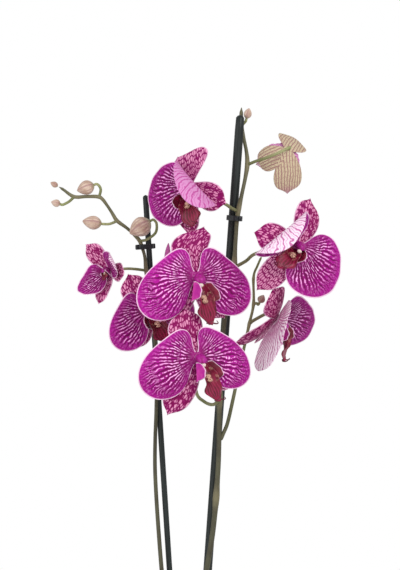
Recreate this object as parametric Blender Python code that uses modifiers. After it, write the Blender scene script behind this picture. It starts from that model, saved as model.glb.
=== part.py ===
"""A potted moth orchid: two staked flower spikes over strap leaves, in a plain glazed pot.

The frame is metres with +Z up. The origin is the middle of the pot's underside, and the flowers
face -Y. Every flower has its own frame: x across, y towards the top sepal, z the way it faces.
"""

import math
from collections import namedtuple

import bmesh
import bpy
import numpy as np
from mathutils import Matrix, Vector

MM = 0.001
GAP = 0.3 * MM  # what touching pieces keep between them

# Pot, liner and bark
POT_HEIGHT = 128 * MM
POT_TOP_RADIUS = 68 * MM
POT_BASE_RADIUS = 50 * MM
POT_WALL = 4 * MM
POT_FLOOR = 6 * MM
LINER_WALL = 1.2 * MM
LINER_RIM_DROP = 4 * MM  # the liner's rim lies this far below the pot's rim
LINER_CLEARANCE = 1.5 * MM
BARK_DROP = 12 * MM  # the bark's surface lies this far below the pot's rim
BARK_DOME = 3 * MM
TURNED_STEPS = 28

# Stakes and clips
LEFT_STAKE_RADIUS = 2.6 * MM
RIGHT_STAKE_RADIUS = 4.0 * MM
STAKE_DEPTH = 86 * MM  # a stake's foot lies this far below the bark's surface
CLIP_HEIGHT = 4.6 * MM
CLIP_WALL = 1.1 * MM
CLIP_CLEARANCE = 0.8 * MM
CLIP_TAB = 2.4 * MM

# Spikes
LEFT_SPIKE_RADIUS = 2.2 * MM
RIGHT_SPIKE_RADIUS = 2.8 * MM
BRANCH_RADIUS = 1.8 * MM
PEDICEL_RADIUS = 1.5 * MM
TIP_SHARE = 0.55  # a spike's radius at its tip over that at its foot

# Crown, leaves and roots
CROWN_RADIUS = 9 * MM
CROWN_HEIGHT = 46 * MM
LEAF_THICKNESS = 1.8 * MM
ROOT_RADIUS = 2.4 * MM

# One full-sized flower
TEPAL_THICKNESS = 0.9 * MM
SEPAL_REACH = 47 * MM
SIDE_SEPAL_REACH = 52 * MM
SIDE_SEPAL_DIRECTION = math.radians(138)
SEPAL_BACK = -1.05 * MM  # where the flower's back lies along its axis
PETAL_GAP = 0.9 * MM  # from the sepals to the petals
LIP_GAP = 1 * MM  # from the petals to the lip
COLUMN_GAP = 0.95 * MM  # from the petals to the column
PETAL_REACH = 40 * MM
PETAL_SWELL = 14 * MM
PETAL_SWELL_DIRECTION = math.radians(-30)
PETAL_FAN_MIDDLE = math.radians(-1)
PETAL_FAN_HALF = math.radians(82)
CLAW_HALF_HEIGHT = 3.5 * MM
CLAW_REACH = 3 * MM
LIP_LENGTH = 34 * MM
LIP_FORWARD = 13.5 * MM
LIP_WING = 18 * MM
LIP_BLADE = 9 * MM
COLUMN_LENGTH = 14 * MM
COLUMN_RADIUS = 4.4 * MM
PEDICEL_GAP = 0.55 * MM  # from a stalk's end to the flower's back
PEDICEL_LEAD = 9 * MM  # a stalk runs straight into the flower's back from here

Finish = namedtuple("Finish", "colour roughness metallic")
FINISHES = {
    "pot_glaze": Finish((0.82, 0.80, 0.76), 0.35, 0.0),
    "liner_plastic": Finish((0.10, 0.09, 0.08), 0.45, 0.0),
    "bark": Finish((0.17, 0.085, 0.045), 0.85, 0.0),
    "leaf": Finish((0.05, 0.13, 0.035), 0.38, 0.0),
    "root": Finish((0.46, 0.50, 0.40), 0.7, 0.0),
    "spike": Finish((0.15, 0.13, 0.07), 0.5, 0.0),
    "stake_plastic": Finish((0.025, 0.035, 0.033), 0.42, 0.0),
    "clip_plastic": Finish((0.012, 0.014, 0.016), 0.4, 0.0),
    "bud": Finish((0.56, 0.41, 0.30), 0.55, 0.0),
    "sepal": Finish((0.42, 0.03, 0.20), 0.5, 0.0),
    "petal": Finish((0.47, 0.02, 0.33), 0.5, 0.0),
    "lip": Finish((0.24, 0.008, 0.04), 0.4, 0.0),
    "column": Finish((0.45, 0.03, 0.30), 0.35, 0.0),
}

# How a flower is posed. Angles are in degrees: yaw turns it to the right, pitch tips it up and roll
# leans its top to the right. The cup is how far the whole flower leans forward at its heart, and
# how much further it bends forward by its rim. The turns move the top sepal and the side sepals
# round to the right. Each petal has a lift, a lean forward at its claw and a further bend. The
# centre's height is above the bark, in millimetres.
Flower = namedtuple(
    "Flower", "name centre yaw pitch roll size cup turns left_petal right_petal",
    defaults=((0, 0), (0, 4, -6), (0, 4, -6)),
)
FLOWERS = (
    Flower("flower_1", (0, -27, 478), -35, 0, -20, 0.93, (-2, -10), (-20, -18), (10, 10, -6),
           (15, 2, 142)),
    Flower("flower_2", (5.5, -58, 393.5), 14, 0, 3, 0.98, (-4, -12), (4, 0)),
    Flower("flower_3", (6.4, -68.6, 323.5), 16, 2, -6, 0.95, (-4, -12), (0, -3)),
    Flower("flower_4", (-73, 2, 400), -42, 4, -40, 0.6, (12, 30), (0, 0), (0, 14, 20), (0, 14, 40)),
    Flower("flower_5", (-37.3, -20, 363.4), 14, 0, -27, 0.8, (-4, -12)),
    Flower("flower_6", (95.7, -37, 421), 32, 0, 32, 0.95, (-2, -12), (-4, 28), (16, 2, 142),
           (0, 12, -6)),
    Flower("flower_7", (68.5, -3, 356), 68, -22, 0, 0.93, (-4, -10), (0, 0), (0, 36, 20),
           (0, 16, 8)),
    Flower("flower_8", (88, 12, 508), -165, -22, -35, 0.82, (22, 38), (0, 0), (0, 0, 10),
           (0, 0, 10)),
)

# Spikes and their side stalks, as points from the foot to the tip, in millimetres above the bark
LEFT_SPIKE_ROUTE = (
    (-6, 13, 20), (-10, 16, 34), (-18, 18, 69), (-24, 18, 109), (-28.7, 18, 164),
    (-31.7, 18, 214), (-31.7, 17, 245.7), (-30.7, 14, 274), (-30.4, 12, 305), (-31.7, 11, 336.7),
    (-35.8, 10, 373), (-39.6, 10, 398), (-40.9, 9.5, 411.8), (-43.3, 9.5, 420.4),
    (-45.6, 8.5, 426.5), (-49.5, 7.5, 431), (-57.1, 5.5, 438), (-65.8, 3.5, 444.4),
    (-70.2, 1.5, 451.4), (-76.1, -1, 460.3), (-81.5, -2.5, 465.6), (-93.7, -4, 465.9),
    (-104.1, -5, 465.7), (-113.5, -6, 472), (-117.5, -7, 474.5),
)
RIGHT_SPIKE_ROUTE = (
    (6, 13, 20), (7.5, 15, 36), (8.5, 17, 69), (12, 17, 109), (20.8, 13, 164.5), (25, 10, 214),
    (26.2, 8.5, 246.3), (26.6, 6.5, 282.6), (28.4, 4, 318.8), (30.6, 2, 350.4), (35.1, -1, 377.5),
    (39.4, -3, 401.8), (41.1, -3, 427), (42.6, -3.4, 447.6), (45.9, -2.5, 464.8),
    (49.4, 0, 481), (51.6, 3, 494.7), (51, 7.5, 506.7), (48.5, 9.5, 519.5), (46.2, 9.5, 532),
    (46.5, 9, 547),
)
BRANCH_ROUTE = (
    (27, 8, 245), (30, 9.5, 252), (34, 9.8, 262), (39.3, 8, 285.3), (46, 6, 317), (53.2, 3, 350.4),
    (57.2, 1, 369.4), (57.3, 3, 393.7), (61, 7, 404), (65, 10, 413),
)
LEFT_STALKS = {
    "flower_4": ((-39.8, 10, 399.6), (-48.8, 9, 400.8), (-58, 7, 401.2)),
    "flower_5": ((-36, 10, 374), (-38, 6, 368)),
    "left_bud_1": ((-45.4, 8.5, 426.2), (-38.8, 2, 427.5), (-31, -1, 433.5), (-30, -2, 441.5),
                   (-32.5, -2, 445)),
    "left_bud_2": ((-65.8, 3.5, 444.2), (-72, 1, 441.6)),
    "left_bud_3": ((-82, -2.5, 464.7), (-80.2, -3, 471.6), (-81.6, -3.5, 475.6)),
    "left_bud_4": ((-102.8, -5, 466.6), (-105, -5.4, 464.6), (-108.4, -6, 461.4)),
    "hidden_bud": ((-32.5, 10.5, 350), (-27, 9, 364), (-22.5, 6, 384)),
}
RIGHT_STALKS = {
    "flower_1": ((43.2, -3, 452.5), (37, -9, 455.5), (29.5, -15, 460)),
    "flower_2": ((39.2, -3, 400), (33, -14, 400.5), (22, -27, 398)),
    "flower_3": ((26.6, 6.5, 282.6), (20.5, -3, 279), (12.6, -15, 282.5), (5.6, -28, 292)),
    "flower_6": ((40.3, -3, 402.5), (50.2, -7, 408), (60, -9, 415)),
    "flower_8": ((51.6, 3, 494.7), (58.5, 0, 497.6), (68.3, -2, 500.7), (79, -3, 505)),
    "top_bud": ((46.3, 9.5, 530), (49.5, 7, 533.5)),
}
BRANCH_STALKS = {
    "flower_7": ((53.5, 3, 351.5), (58, 1, 355)),
    "branch_bud": ((57.2, 1, 369.4), (60, 0, 370)),
}

# Buds: foot and tip in millimetres above the bark, and the greatest radius
BUDS = {
    "left_bud_1": ((-35.6, -2, 444), (-54.2, -3, 432.6), 8.8),
    "left_bud_2": ((-79.4, 0.5, 441.6), (-96.8, -1, 444), 6.2),
    "left_bud_3": ((-86, -4, 476.4), (-101.4, -5.5, 471), 6.5),
    "left_bud_4": ((-116, -7, 459), (-124.5, -8, 461), 3.4),
    "left_bud_5": ((-118.4, -7.2, 475), (-125, -8, 478.5), 2.6),
    "hidden_bud": ((-21, 4, 403), (-19.4, 2, 424.5), 4.6),
    "branch_bud": ((62.4, -0.6, 370.6), (66.4, -2, 377.5), 3.5),
    "top_bud": ((50.9, 5.6, 536.6), (53.4, 3.5, 546), 3.6),
}

# Leaves: azimuth, foot height above the bark, rise at the foot, rise at the tip, length, half width
LEAVES = {
    "leaf_1": (193, 4, 26, -38, 168, 31),
    "leaf_2": (-12, 9, 32, -34, 176, 32),
    "leaf_3": (202, 19, 44, -26, 160, 30),
    "leaf_4": (-24, 26, 52, -20, 146, 28),
    "leaf_5": (186, 35, 60, 8, 92, 19),
}

# Roots: azimuth, share of the way from the crown out to the liner, millimetres above the bark
ROOTS = {
    "root_1": ((-24.4, 0.061, 6), (-33.7, 0.392, 11), (-38.3, 0.779, 7), (-37.5, 0.97, 3.6)),
    "root_2": ((-113.5, 0.07, 5), (-114.6, 0.344, 12), (-114.2, 0.689, 8), (-113.6, 0.857, 3.6)),
    "root_3": ((14, 0.067, 8), (23.2, 0.424, 22), (24.8, 0.954, 26), (25.2, 1.307, 16),
               (25.3, 1.44, 0), (25.6, 1.466, -18)),
}

SPIKE_STEPS = 44
STALK_STEPS = 7
BARK_LEVEL = POT_HEIGHT - BARK_DROP

# The middles of a flower's layers along its axis
SEPAL_LEVEL = SEPAL_BACK + TEPAL_THICKNESS / 2
PETAL_LEVEL = SEPAL_LEVEL + TEPAL_THICKNESS + PETAL_GAP
LIP_LEVEL = PETAL_LEVEL + TEPAL_THICKNESS + LIP_GAP
COLUMN_LEVEL = PETAL_LEVEL + TEPAL_THICKNESS / 2 + COLUMN_GAP


def place(values):
    """A point given in millimetres, its height above the bark, in metres."""
    return Vector(values) * MM + Vector((0, 0, BARK_LEVEL))


def unplace(point):
    """A point in metres back in millimetres, its height above the bark."""
    return tuple((point - Vector((0, 0, BARK_LEVEL))) / MM)


def collection_named(name, shown=True):
    made = bpy.data.collections.new(name)
    bpy.context.scene.collection.children.link(made)
    made.hide_render = not shown
    return made


def finish_material(name):
    material = bpy.data.materials.get(name)
    if material:
        return material
    finish = FINISHES[name]
    material = bpy.data.materials.new(name)
    material.use_nodes = True
    shader = material.node_tree.nodes["Principled BSDF"]
    shader.inputs["Base Color"].default_value = (*finish.colour, 1)
    shader.inputs["Roughness"].default_value = finish.roughness
    shader.inputs["Metallic"].default_value = finish.metallic
    return material


def new_object(name, data, finish, holder):
    made = bpy.data.objects.new(name, data)
    holder.objects.link(made)
    data.materials.append(finish_material(finish))
    return made


def object_from(bm, name, finish, holder):
    mesh = bpy.data.meshes.new(name)
    bmesh.ops.recalc_face_normals(bm, faces=bm.faces)
    bm.to_mesh(mesh)
    bm.free()
    mesh.shade_smooth()
    return new_object(name, mesh, finish, holder)


def shell(made, thickness):
    solid = made.modifiers.new("Thickness", "SOLIDIFY")
    solid.thickness = thickness
    solid.offset = 0
    return made


def grid(columns, rows):
    """An open sheet with its two parameters, each from -1 to 1, as its x and y."""
    bm = bmesh.new()
    bmesh.ops.create_grid(bm, x_segments=columns, y_segments=rows, size=1)
    return bm


def shape_sheet(bm, surface):
    """Moves every vertex from its two parameters to the surface's point there."""
    flat = np.array([vert.co for vert in bm.verts])
    for vert, point in zip(bm.verts, surface(flat[:, 0], flat[:, 1])):
        vert.co = point


def turned(name, profile, finish, holder, steps=TURNED_STEPS):
    """A turned solid. The profile runs from the axis at the top, down the outside, back to the axis."""
    mesh = bpy.data.meshes.new(name)
    mesh.from_pydata(
        [(radius, 0, height) for radius, height in profile],
        [(i, i + 1) for i in range(len(profile) - 1)],
        [],
    )
    made = new_object(name, mesh, finish, holder)
    screw = made.modifiers.new("Turn", "SCREW")
    screw.steps = screw.render_steps = steps
    screw.use_merge_vertices = True
    screw.merge_threshold = 0.01 * MM
    screw.use_smooth_shade = True
    return made


def smooth_route(points, count):
    """Points in metres, evenly spread by length on the Catmull-Rom curve through the given ones."""
    knots = np.array([points[0], *points, points[-1]], float)
    knots[0] = 2 * knots[1] - knots[2]
    knots[-1] = 2 * knots[-2] - knots[-3]
    t = np.linspace(0, 1, 12, endpoint=False)[:, None]
    fine = []
    for a, b, c, d in zip(knots, knots[1:], knots[2:], knots[3:]):
        fine.append(
            0.5 * (2 * b + (c - a) * t + (2 * a - 5 * b + 4 * c - d) * t**2
                   + (3 * b - a - 3 * c + d) * t**3)
        )
    fine = np.vstack([*fine, knots[-2][None]])
    run = np.concatenate([[0], np.cumsum(np.linalg.norm(np.diff(fine, axis=0), axis=1))])
    even = np.linspace(0, run[-1], count)
    spread = np.stack([np.interp(even, run, fine[:, axis]) for axis in range(3)], axis=1)
    return spread * MM + (0, 0, BARK_LEVEL)


def tube(name, points, radii, finish, holder, sides=1):
    """A closed tube along the points, in metres, with a radius at each."""
    curve = bpy.data.curves.new(name, "CURVE")
    curve.dimensions = "3D"
    curve.bevel_depth = 1
    curve.bevel_resolution = sides
    curve.use_fill_caps = True
    spline = curve.splines.new("POLY")
    spline.points.add(len(points) - 1)
    for knot, point, radius in zip(spline.points, points, radii):
        knot.co = (*point, 1)
        knot.radius = radius
    return new_object(name, curve, finish, holder)


def as_mesh(made, finish):
    """The same object as a mesh, with a curve's loose caps welded on."""
    bpy.context.view_layer.update()
    graph = bpy.context.evaluated_depsgraph_get()
    mesh = bpy.data.meshes.new_from_object(made.evaluated_get(graph))
    bm = bmesh.new()
    bm.from_mesh(mesh)
    bmesh.ops.remove_doubles(bm, verts=bm.verts, dist=0.01 * MM)
    bmesh.ops.recalc_face_normals(bm, faces=bm.faces)
    bm.to_mesh(mesh)
    bm.free()
    mesh.shade_smooth()
    mesh.materials.clear()
    name, holder, world = made.name, made.users_collection[0], made.matrix_world.copy()
    bpy.data.objects.remove(made)
    solid = new_object(name, mesh, finish, holder)
    solid.matrix_world = world
    return solid


def combine(solid, others, operation):
    """Joins or cuts with other solids, which are then only cutters."""
    for other in others:
        step = solid.modifiers.new(other.name, "BOOLEAN")
        step.operation = operation
        step.object = other
        other.hide_render = True
        other.display_type = "WIRE"
    return solid


# Pot, liner and bark -----------------------------------------------------------------------------


def pot_radius(height):
    """The pot's outer radius at a height."""
    return POT_BASE_RADIUS + (POT_TOP_RADIUS - POT_BASE_RADIUS) * height / POT_HEIGHT


LINER_BOTTOM = POT_FLOOR + GAP
LINER_TOP = POT_HEIGHT - LINER_RIM_DROP


def liner_radius(height):
    """The liner's outer radius at a height."""
    return pot_radius(height) - POT_WALL - LINER_CLEARANCE


def build_pot(holder):
    inner = POT_HEIGHT - POT_WALL / 2
    profile = (
        (0, POT_FLOOR),
        (pot_radius(POT_FLOOR) - POT_WALL, POT_FLOOR),
        (pot_radius(inner) - POT_WALL, inner),
        (pot_radius(inner) - 0.7 * POT_WALL, POT_HEIGHT),
        (pot_radius(inner) - 0.3 * POT_WALL, POT_HEIGHT),
        (pot_radius(inner), inner),
        (pot_radius(POT_WALL / 2), POT_WALL / 2),
        (POT_BASE_RADIUS - POT_WALL / 2, 0),
        (0, 0),
    )
    turned("pot", profile, "pot_glaze", holder)


def build_liner(holder):
    floor = LINER_BOTTOM + LINER_WALL
    profile = (
        (0, floor),
        (liner_radius(floor) - LINER_WALL, floor),
        (liner_radius(LINER_TOP) - LINER_WALL, LINER_TOP),
        (liner_radius(LINER_TOP), LINER_TOP),
        (liner_radius(LINER_BOTTOM), LINER_BOTTOM),
        (0, LINER_BOTTOM),
    )
    turned("liner", profile, "liner_plastic", holder)


def build_bark(holder, stakes):
    bottom = LINER_BOTTOM + LINER_WALL + GAP
    inside = LINER_WALL + GAP
    profile = (
        (0, BARK_LEVEL),
        (CROWN_RADIUS + 4 * MM, BARK_LEVEL),
        (0.55 * liner_radius(BARK_LEVEL), BARK_LEVEL - 0.3 * BARK_DOME),
        (liner_radius(BARK_LEVEL - BARK_DOME) - inside, BARK_LEVEL - BARK_DOME),
        (liner_radius(bottom) - inside, bottom),
        (0, bottom),
    )
    bark = turned("bark", profile, "bark", holder)
    combine(bark, stakes, "DIFFERENCE")


# Stakes and clips --------------------------------------------------------------------------------

Stake = namedtuple("Stake", "foot top radius")
STAKES = {
    "left_stake": Stake(place((-10.5, 28, -3.5)), place((-40.4, 12, 468)), LEFT_STAKE_RADIUS),
    "right_stake": Stake(place((6.7, 30, -3.9)), place((45.3, 0, 539.5)), RIGHT_STAKE_RADIUS),
}


def stake_at(stake, height):
    """The stake's axis at a height."""
    share = (height - stake.foot.z) / (stake.top.z - stake.foot.z)
    return stake.foot.lerp(stake.top, share)


def rod(name, low, high, radius, finish, holder, segments=12):
    """A straight round bar between two points, with a short chamfer at its top."""
    axis = high - low
    chamfer = 0.3 * radius
    bm = bmesh.new()
    bmesh.ops.create_cone(
        bm, cap_ends=True, segments=segments, radius1=radius, radius2=radius, depth=axis.length,
    )
    top = [edge for edge in bm.edges if min(vert.co.z for vert in edge.verts) > 0]
    bmesh.ops.bevel(bm, geom=top, offset=chamfer, segments=1, affect="EDGES")
    made = object_from(bm, name, finish, holder)
    turn = axis.to_track_quat("Z", "Y").to_matrix().to_4x4()
    made.matrix_world = Matrix.Translation((low + high) / 2) @ turn
    return made


def build_stakes(holder, cutters):
    """The stakes, and a slightly wider rod for the hole that each makes in the bark."""
    holes = []
    for name, stake in STAKES.items():
        low = stake_at(stake, BARK_LEVEL - STAKE_DEPTH)
        rod(name, low, stake.top, stake.radius, "stake_plastic", holder)
        below = stake_at(stake, BARK_LEVEL - STAKE_DEPTH - GAP)
        above = stake_at(stake, POT_HEIGHT)
        holes.append(
            rod(name + "_hole", below, above, stake.radius + GAP, "bark", cutters)
        )
    return holes


def ring_outline(first, second, distance, extra, tab):
    """The outline round two circles a distance apart along x, with a small tab at each end."""
    r1, r2 = first + extra, second + extra
    lean = math.acos((r1 - r2) / distance)
    points = []
    for angle in np.linspace(lean, 2 * math.pi - lean, 9):
        points.append((r1 * math.cos(angle), r1 * math.sin(angle)))
    for angle in np.linspace(-lean, lean, 9):
        points.append((distance + r2 * math.cos(angle), r2 * math.sin(angle)))
    if tab:
        points[4:5] = [(-r1, tab / 2), (-r1 - tab, tab / 2), (-r1 - tab, -tab / 2), (-r1, -tab / 2)]
        far = distance + r2
        points[-5:-4] = [(far, -tab / 2), (far + tab, -tab / 2), (far + tab, tab / 2), (far, tab / 2)]
    return points


def route_at(route, height):
    """The point where a spike's route first reaches a height, in metres."""
    points = smooth_route(route, 400)
    return Vector(points[np.argmax(points[:, 2] >= height)])


CLIPS = {
    "left_upper_clip": ("left_stake", LEFT_SPIKE_ROUTE, LEFT_SPIKE_RADIUS, 421.5 * MM),
    "left_lower_clip": ("left_stake", LEFT_SPIKE_ROUTE, LEFT_SPIKE_RADIUS, 120 * MM),
    "right_upper_clip": ("right_stake", RIGHT_SPIKE_ROUTE, RIGHT_SPIKE_RADIUS, 447 * MM),
    "right_lower_clip": ("right_stake", RIGHT_SPIKE_ROUTE, RIGHT_SPIKE_RADIUS, 116 * MM),
}


def build_clip(name, holder):
    stake_name, route, spike_radius, above_bark = CLIPS[name]
    stake = STAKES[stake_name]
    height = BARK_LEVEL + above_bark
    hub = stake_at(stake, height)
    across = route_at(route, height) - hub
    up = (stake.top - stake.foot).normalized()
    across -= up * across.dot(up)
    distance = across.length
    across.normalize()
    curve = bpy.data.curves.new(name, "CURVE")
    curve.dimensions = "2D"
    curve.fill_mode = "BOTH"
    curve.extrude = CLIP_HEIGHT / 2
    for extra, tab in ((CLIP_CLEARANCE + CLIP_WALL, CLIP_TAB), (CLIP_CLEARANCE, 0)):
        outline = ring_outline(stake.radius, spike_radius, distance, extra, tab)
        spline = curve.splines.new("POLY")
        spline.use_cyclic_u = True
        spline.points.add(len(outline) - 1)
        for knot, (x, y) in zip(spline.points, outline):
            knot.co = (x, y, 0, 1)
    made = new_object(name, curve, "clip_plastic", holder)
    turn = Matrix((across, up.cross(across), up)).transposed().to_4x4()
    made.matrix_world = Matrix.Translation(hub) @ turn
    as_mesh(made, "clip_plastic")


# Flowers -----------------------------------------------------------------------------------------


def flower_frame(flower):
    """From a flower's own frame to the plant's."""
    facing = Matrix(((1, 0, 0), (0, 0, -1), (0, 1, 0))).to_4x4()
    yaw = Matrix.Rotation(math.radians(flower.yaw), 4, "Z")
    pitch = Matrix.Rotation(-math.radians(flower.pitch), 4, "X")
    roll = Matrix.Rotation(-math.radians(flower.roll), 4, "Z")
    return Matrix.Translation(place(flower.centre)) @ yaw @ pitch @ facing @ roll


def bent(run, reach, tilt, curl):
    """How far out and how far forward a point is after a run along an arc.

    The arc leaves at the tilt and has turned by the curl once the run equals the reach.
    """
    rate = np.where(np.abs(curl) < 1e-4, 1e-4, curl) / reach
    end = tilt + rate * run
    return (np.sin(end) - np.sin(tilt)) / rate, (np.cos(tilt) - np.cos(end)) / rate


def cupped(x, y, level, flower):
    """Points of a flat flower, bent radially into its cup, with their level kept along the normal."""
    away = np.hypot(x, y)
    tilt, curl = np.radians(flower.cup)
    whole = SIDE_SEPAL_REACH * flower.size
    out, forward = bent(away, whole, tilt, curl)
    slope = tilt + curl * away / whole
    shrink = (out - level * np.sin(slope)) / np.maximum(away, 1e-6)
    return np.stack([x * shrink, y * shrink, forward + level * np.cos(slope)], axis=1)


def sepals_surface(share, angle, flower):
    """Three lobes round the centre: the reach falls from each lobe's tip as a power of a cosine."""
    third, side = 2 * math.pi / 3, SIDE_SEPAL_DIRECTION
    top, sides = np.radians(flower.turns)
    middles = np.array([top, side + sides, 2 * math.pi - side + sides, 2 * math.pi + top])
    angle = top + np.mod(angle - top, 2 * math.pi)
    lobe = np.interp(angle, middles, third * np.arange(4))
    nearest = np.round(lobe / third) * third
    length = np.where(np.cos(nearest) > 0, SEPAL_REACH, SIDE_SEPAL_REACH) * flower.size
    open_share = np.clip(np.cos(1.5 * (lobe - nearest)), 0, 1) ** 1.3
    run = share * (length * open_share + 5 * MM * flower.size)
    return cupped(run * np.sin(angle), run * np.cos(angle), SEPAL_LEVEL, flower)


def petals_surface(s, q, flower):
    """Two fans side by side: s runs from the left margin to the right one, q down each fan."""
    side, share = np.sign(s), np.abs(s)
    ray = 0.98 * np.sin(0.5 * math.pi * q)
    angle = PETAL_FAN_MIDDLE + PETAL_FAN_HALF * ray
    swell = PETAL_REACH + PETAL_SWELL * np.cos(1.6 * (angle - PETAL_SWELL_DIRECTION))
    reach = flower.size * swell * (1 - ray**8) ** 0.35
    run = share * reach * np.cos(angle)
    rise = share * reach * np.sin(angle) + CLAW_HALF_HEIGHT * flower.size * q * (1 - share)
    posed = np.where(side[:, None] < 0, flower.left_petal, flower.right_petal)
    lift, tilt, curl = np.radians(posed).T
    out, forward = bent(run, (PETAL_REACH + PETAL_SWELL) * flower.size, tilt, curl)
    x = CLAW_REACH * flower.size * (1 - (1 - share) ** 2) + out
    level = PETAL_LEVEL + np.maximum(forward, -0.3 * MM)
    across = side * (x * np.cos(lift) - rise * np.sin(lift))
    return cupped(across, x * np.sin(lift) + rise * np.cos(lift), level, flower)


def bump(v, middle, spread):
    return np.exp(-(((v - middle) / spread) ** 2))


def lip_surface(a, b, flower):
    """A boat with two raised wings and a pointed blade: b runs from its foot to its tip.

    A cupped flower is still opening, so its lip is smaller.
    """
    v = (b + 1) / 2
    size = flower.size * (1 - max(0, flower.cup[0]) / 50)
    half = 2 * MM + LIP_WING * bump(v, 0.27, 0.14) + LIP_BLADE * bump(v, 0.74, 0.17)
    run = np.abs(a) * half * (1 - 0.6 * v**8) * size
    lean = math.radians(14) + math.radians(46) * bump(v, 0.27, 0.18)
    out, forward = bent(run, half * size, 0.2 * lean, lean)
    down = -5.5 * MM - LIP_LENGTH * v * size
    ahead = LIP_LEVEL + LIP_FORWARD * size * np.sin(0.55 * math.pi * v) ** 1.2
    return cupped(np.sign(a) * out, down, ahead + forward, flower)


def build_sepals(flower, holder):
    spokes, rings = 24, 3
    bm = bmesh.new()
    line = [bm.verts.new((ring / rings, 0, 0)) for ring in range(rings + 1)]
    edges = [bm.edges.new(pair) for pair in zip(line, line[1:])]
    bmesh.ops.spin(
        bm, geom=line + edges, cent=(0, 0, 0), axis=(0, 0, 1), angle=2 * math.pi, steps=spokes,
        use_merge=True,
    )
    bmesh.ops.remove_doubles(bm, verts=bm.verts, dist=0.01 * MM)
    for vert in bm.verts:
        share = np.array([vert.co.xy.length])
        angle = np.array([math.atan2(vert.co.x, vert.co.y)])
        vert.co = sepals_surface(share, angle, flower)[0]
    made = object_from(bm, flower.name + "_sepals", "sepal", holder)
    made.matrix_world = flower_frame(flower)
    shell(made, TEPAL_THICKNESS)


def build_petals(flower, holder):
    bm = grid(6, 8)
    shape_sheet(bm, lambda s, q: petals_surface(s, q, flower))
    made = object_from(bm, flower.name + "_petals", "petal", holder)
    made.matrix_world = flower_frame(flower)
    shell(made, TEPAL_THICKNESS)


def build_lip(flower, holder):
    bm = grid(6, 9)
    shape_sheet(bm, lambda a, b: lip_surface(a, b, flower))
    made = object_from(bm, flower.name + "_lip", "lip", holder)
    made.matrix_world = flower_frame(flower)
    shell(made, TEPAL_THICKNESS)


def build_column(flower, holder):
    bm = bmesh.new()
    bmesh.ops.create_uvsphere(bm, u_segments=8, v_segments=6, radius=1)
    half = COLUMN_LENGTH * flower.size / 2
    width = COLUMN_RADIUS * flower.size
    bmesh.ops.scale(bm, vec=(width, 0.9 * width, half), verts=bm.verts)
    bmesh.ops.translate(bm, vec=(0, 0, COLUMN_LEVEL + half), verts=bm.verts)
    made = object_from(bm, flower.name + "_column", "column", holder)
    made.matrix_world = flower_frame(flower)


# Spikes ------------------------------------------------------------------------------------------


def stalk_end(target):
    """Where a stalk meets its flower or bud, and a point that leads straight into it, in millimetres."""
    for flower in FLOWERS:
        if flower.name == target:
            world = flower_frame(flower)
            lead = world @ Vector((0, 0, -PEDICEL_LEAD * flower.size))
            return [unplace(lead), unplace(world @ Vector((0, 0, SEPAL_BACK - PEDICEL_GAP)))]
    foot, tip, _ = BUDS[target]
    way = (Vector(tip) - Vector(foot)).normalized()
    end = Vector(foot) - way * (GAP / MM)
    return [tuple(end - 2 * way), tuple(end)]


def build_spike(name, route, radius, branches, stalks, holder, cutters):
    """One spike: its main stem with every side branch and stalk grown on to it."""

    def stem(stem_name, points, count, thick, thin, where):
        path = smooth_route(points, count)
        radii = np.linspace(thick, thin, count)
        return as_mesh(tube(stem_name, path, radii, "spike", where), "spike")

    grown = []
    for number, (branch_route, branch_radius) in enumerate(branches):
        branch_name = f"{name}_branch_{number}"
        thin = branch_radius * TIP_SHARE
        grown.append(stem(branch_name, branch_route, 16, branch_radius, thin, cutters))
    for target, points in stalks.items():
        size = next((flower.size for flower in FLOWERS if flower.name == target), 0.6)
        thick = PEDICEL_RADIUS * (0.55 + 0.45 * size)
        route_there = [*points, *stalk_end(target)]
        grown.append(stem(f"{target}_stalk", route_there, STALK_STEPS, thick, thick, cutters))
    main = stem(name, route, SPIKE_STEPS, radius, radius * TIP_SHARE, holder)
    combine(main, grown, "UNION")


def build_bud(name, holder):
    """An egg with a blunt point: a turned profile whose radius peaks nearer its foot."""
    foot, tip, radius = BUDS[name]
    foot, tip = place(foot), place(tip)
    axis = tip - foot
    share = np.linspace(0, 1, 8)
    width = np.sin(math.pi * share**0.82) ** 0.75
    profile = [(radius * MM * w, axis.length * s) for s, w in zip(share[::-1], width[::-1])]
    profile[0] = (0, axis.length)
    profile[-1] = (0, 0)
    made = turned(name, profile, "bud", holder, steps=10)
    made.matrix_world = Matrix.Translation(foot) @ axis.to_track_quat("Z", "Y").to_matrix().to_4x4()


# Crown, leaves and roots -------------------------------------------------------------------------


def build_crown(holder):
    low = BARK_LEVEL + GAP
    shares = ((0, 1.0), (0.45, 0.96), (0.8, 0.75), (0.95, 0.3), (1.0, 0.06), (0.9, 0.0), (0, 0.0))
    profile = [(CROWN_RADIUS * across, low + CROWN_HEIGHT * up) for across, up in shares]
    turned("crown", profile, "leaf", holder, steps=12)


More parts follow.
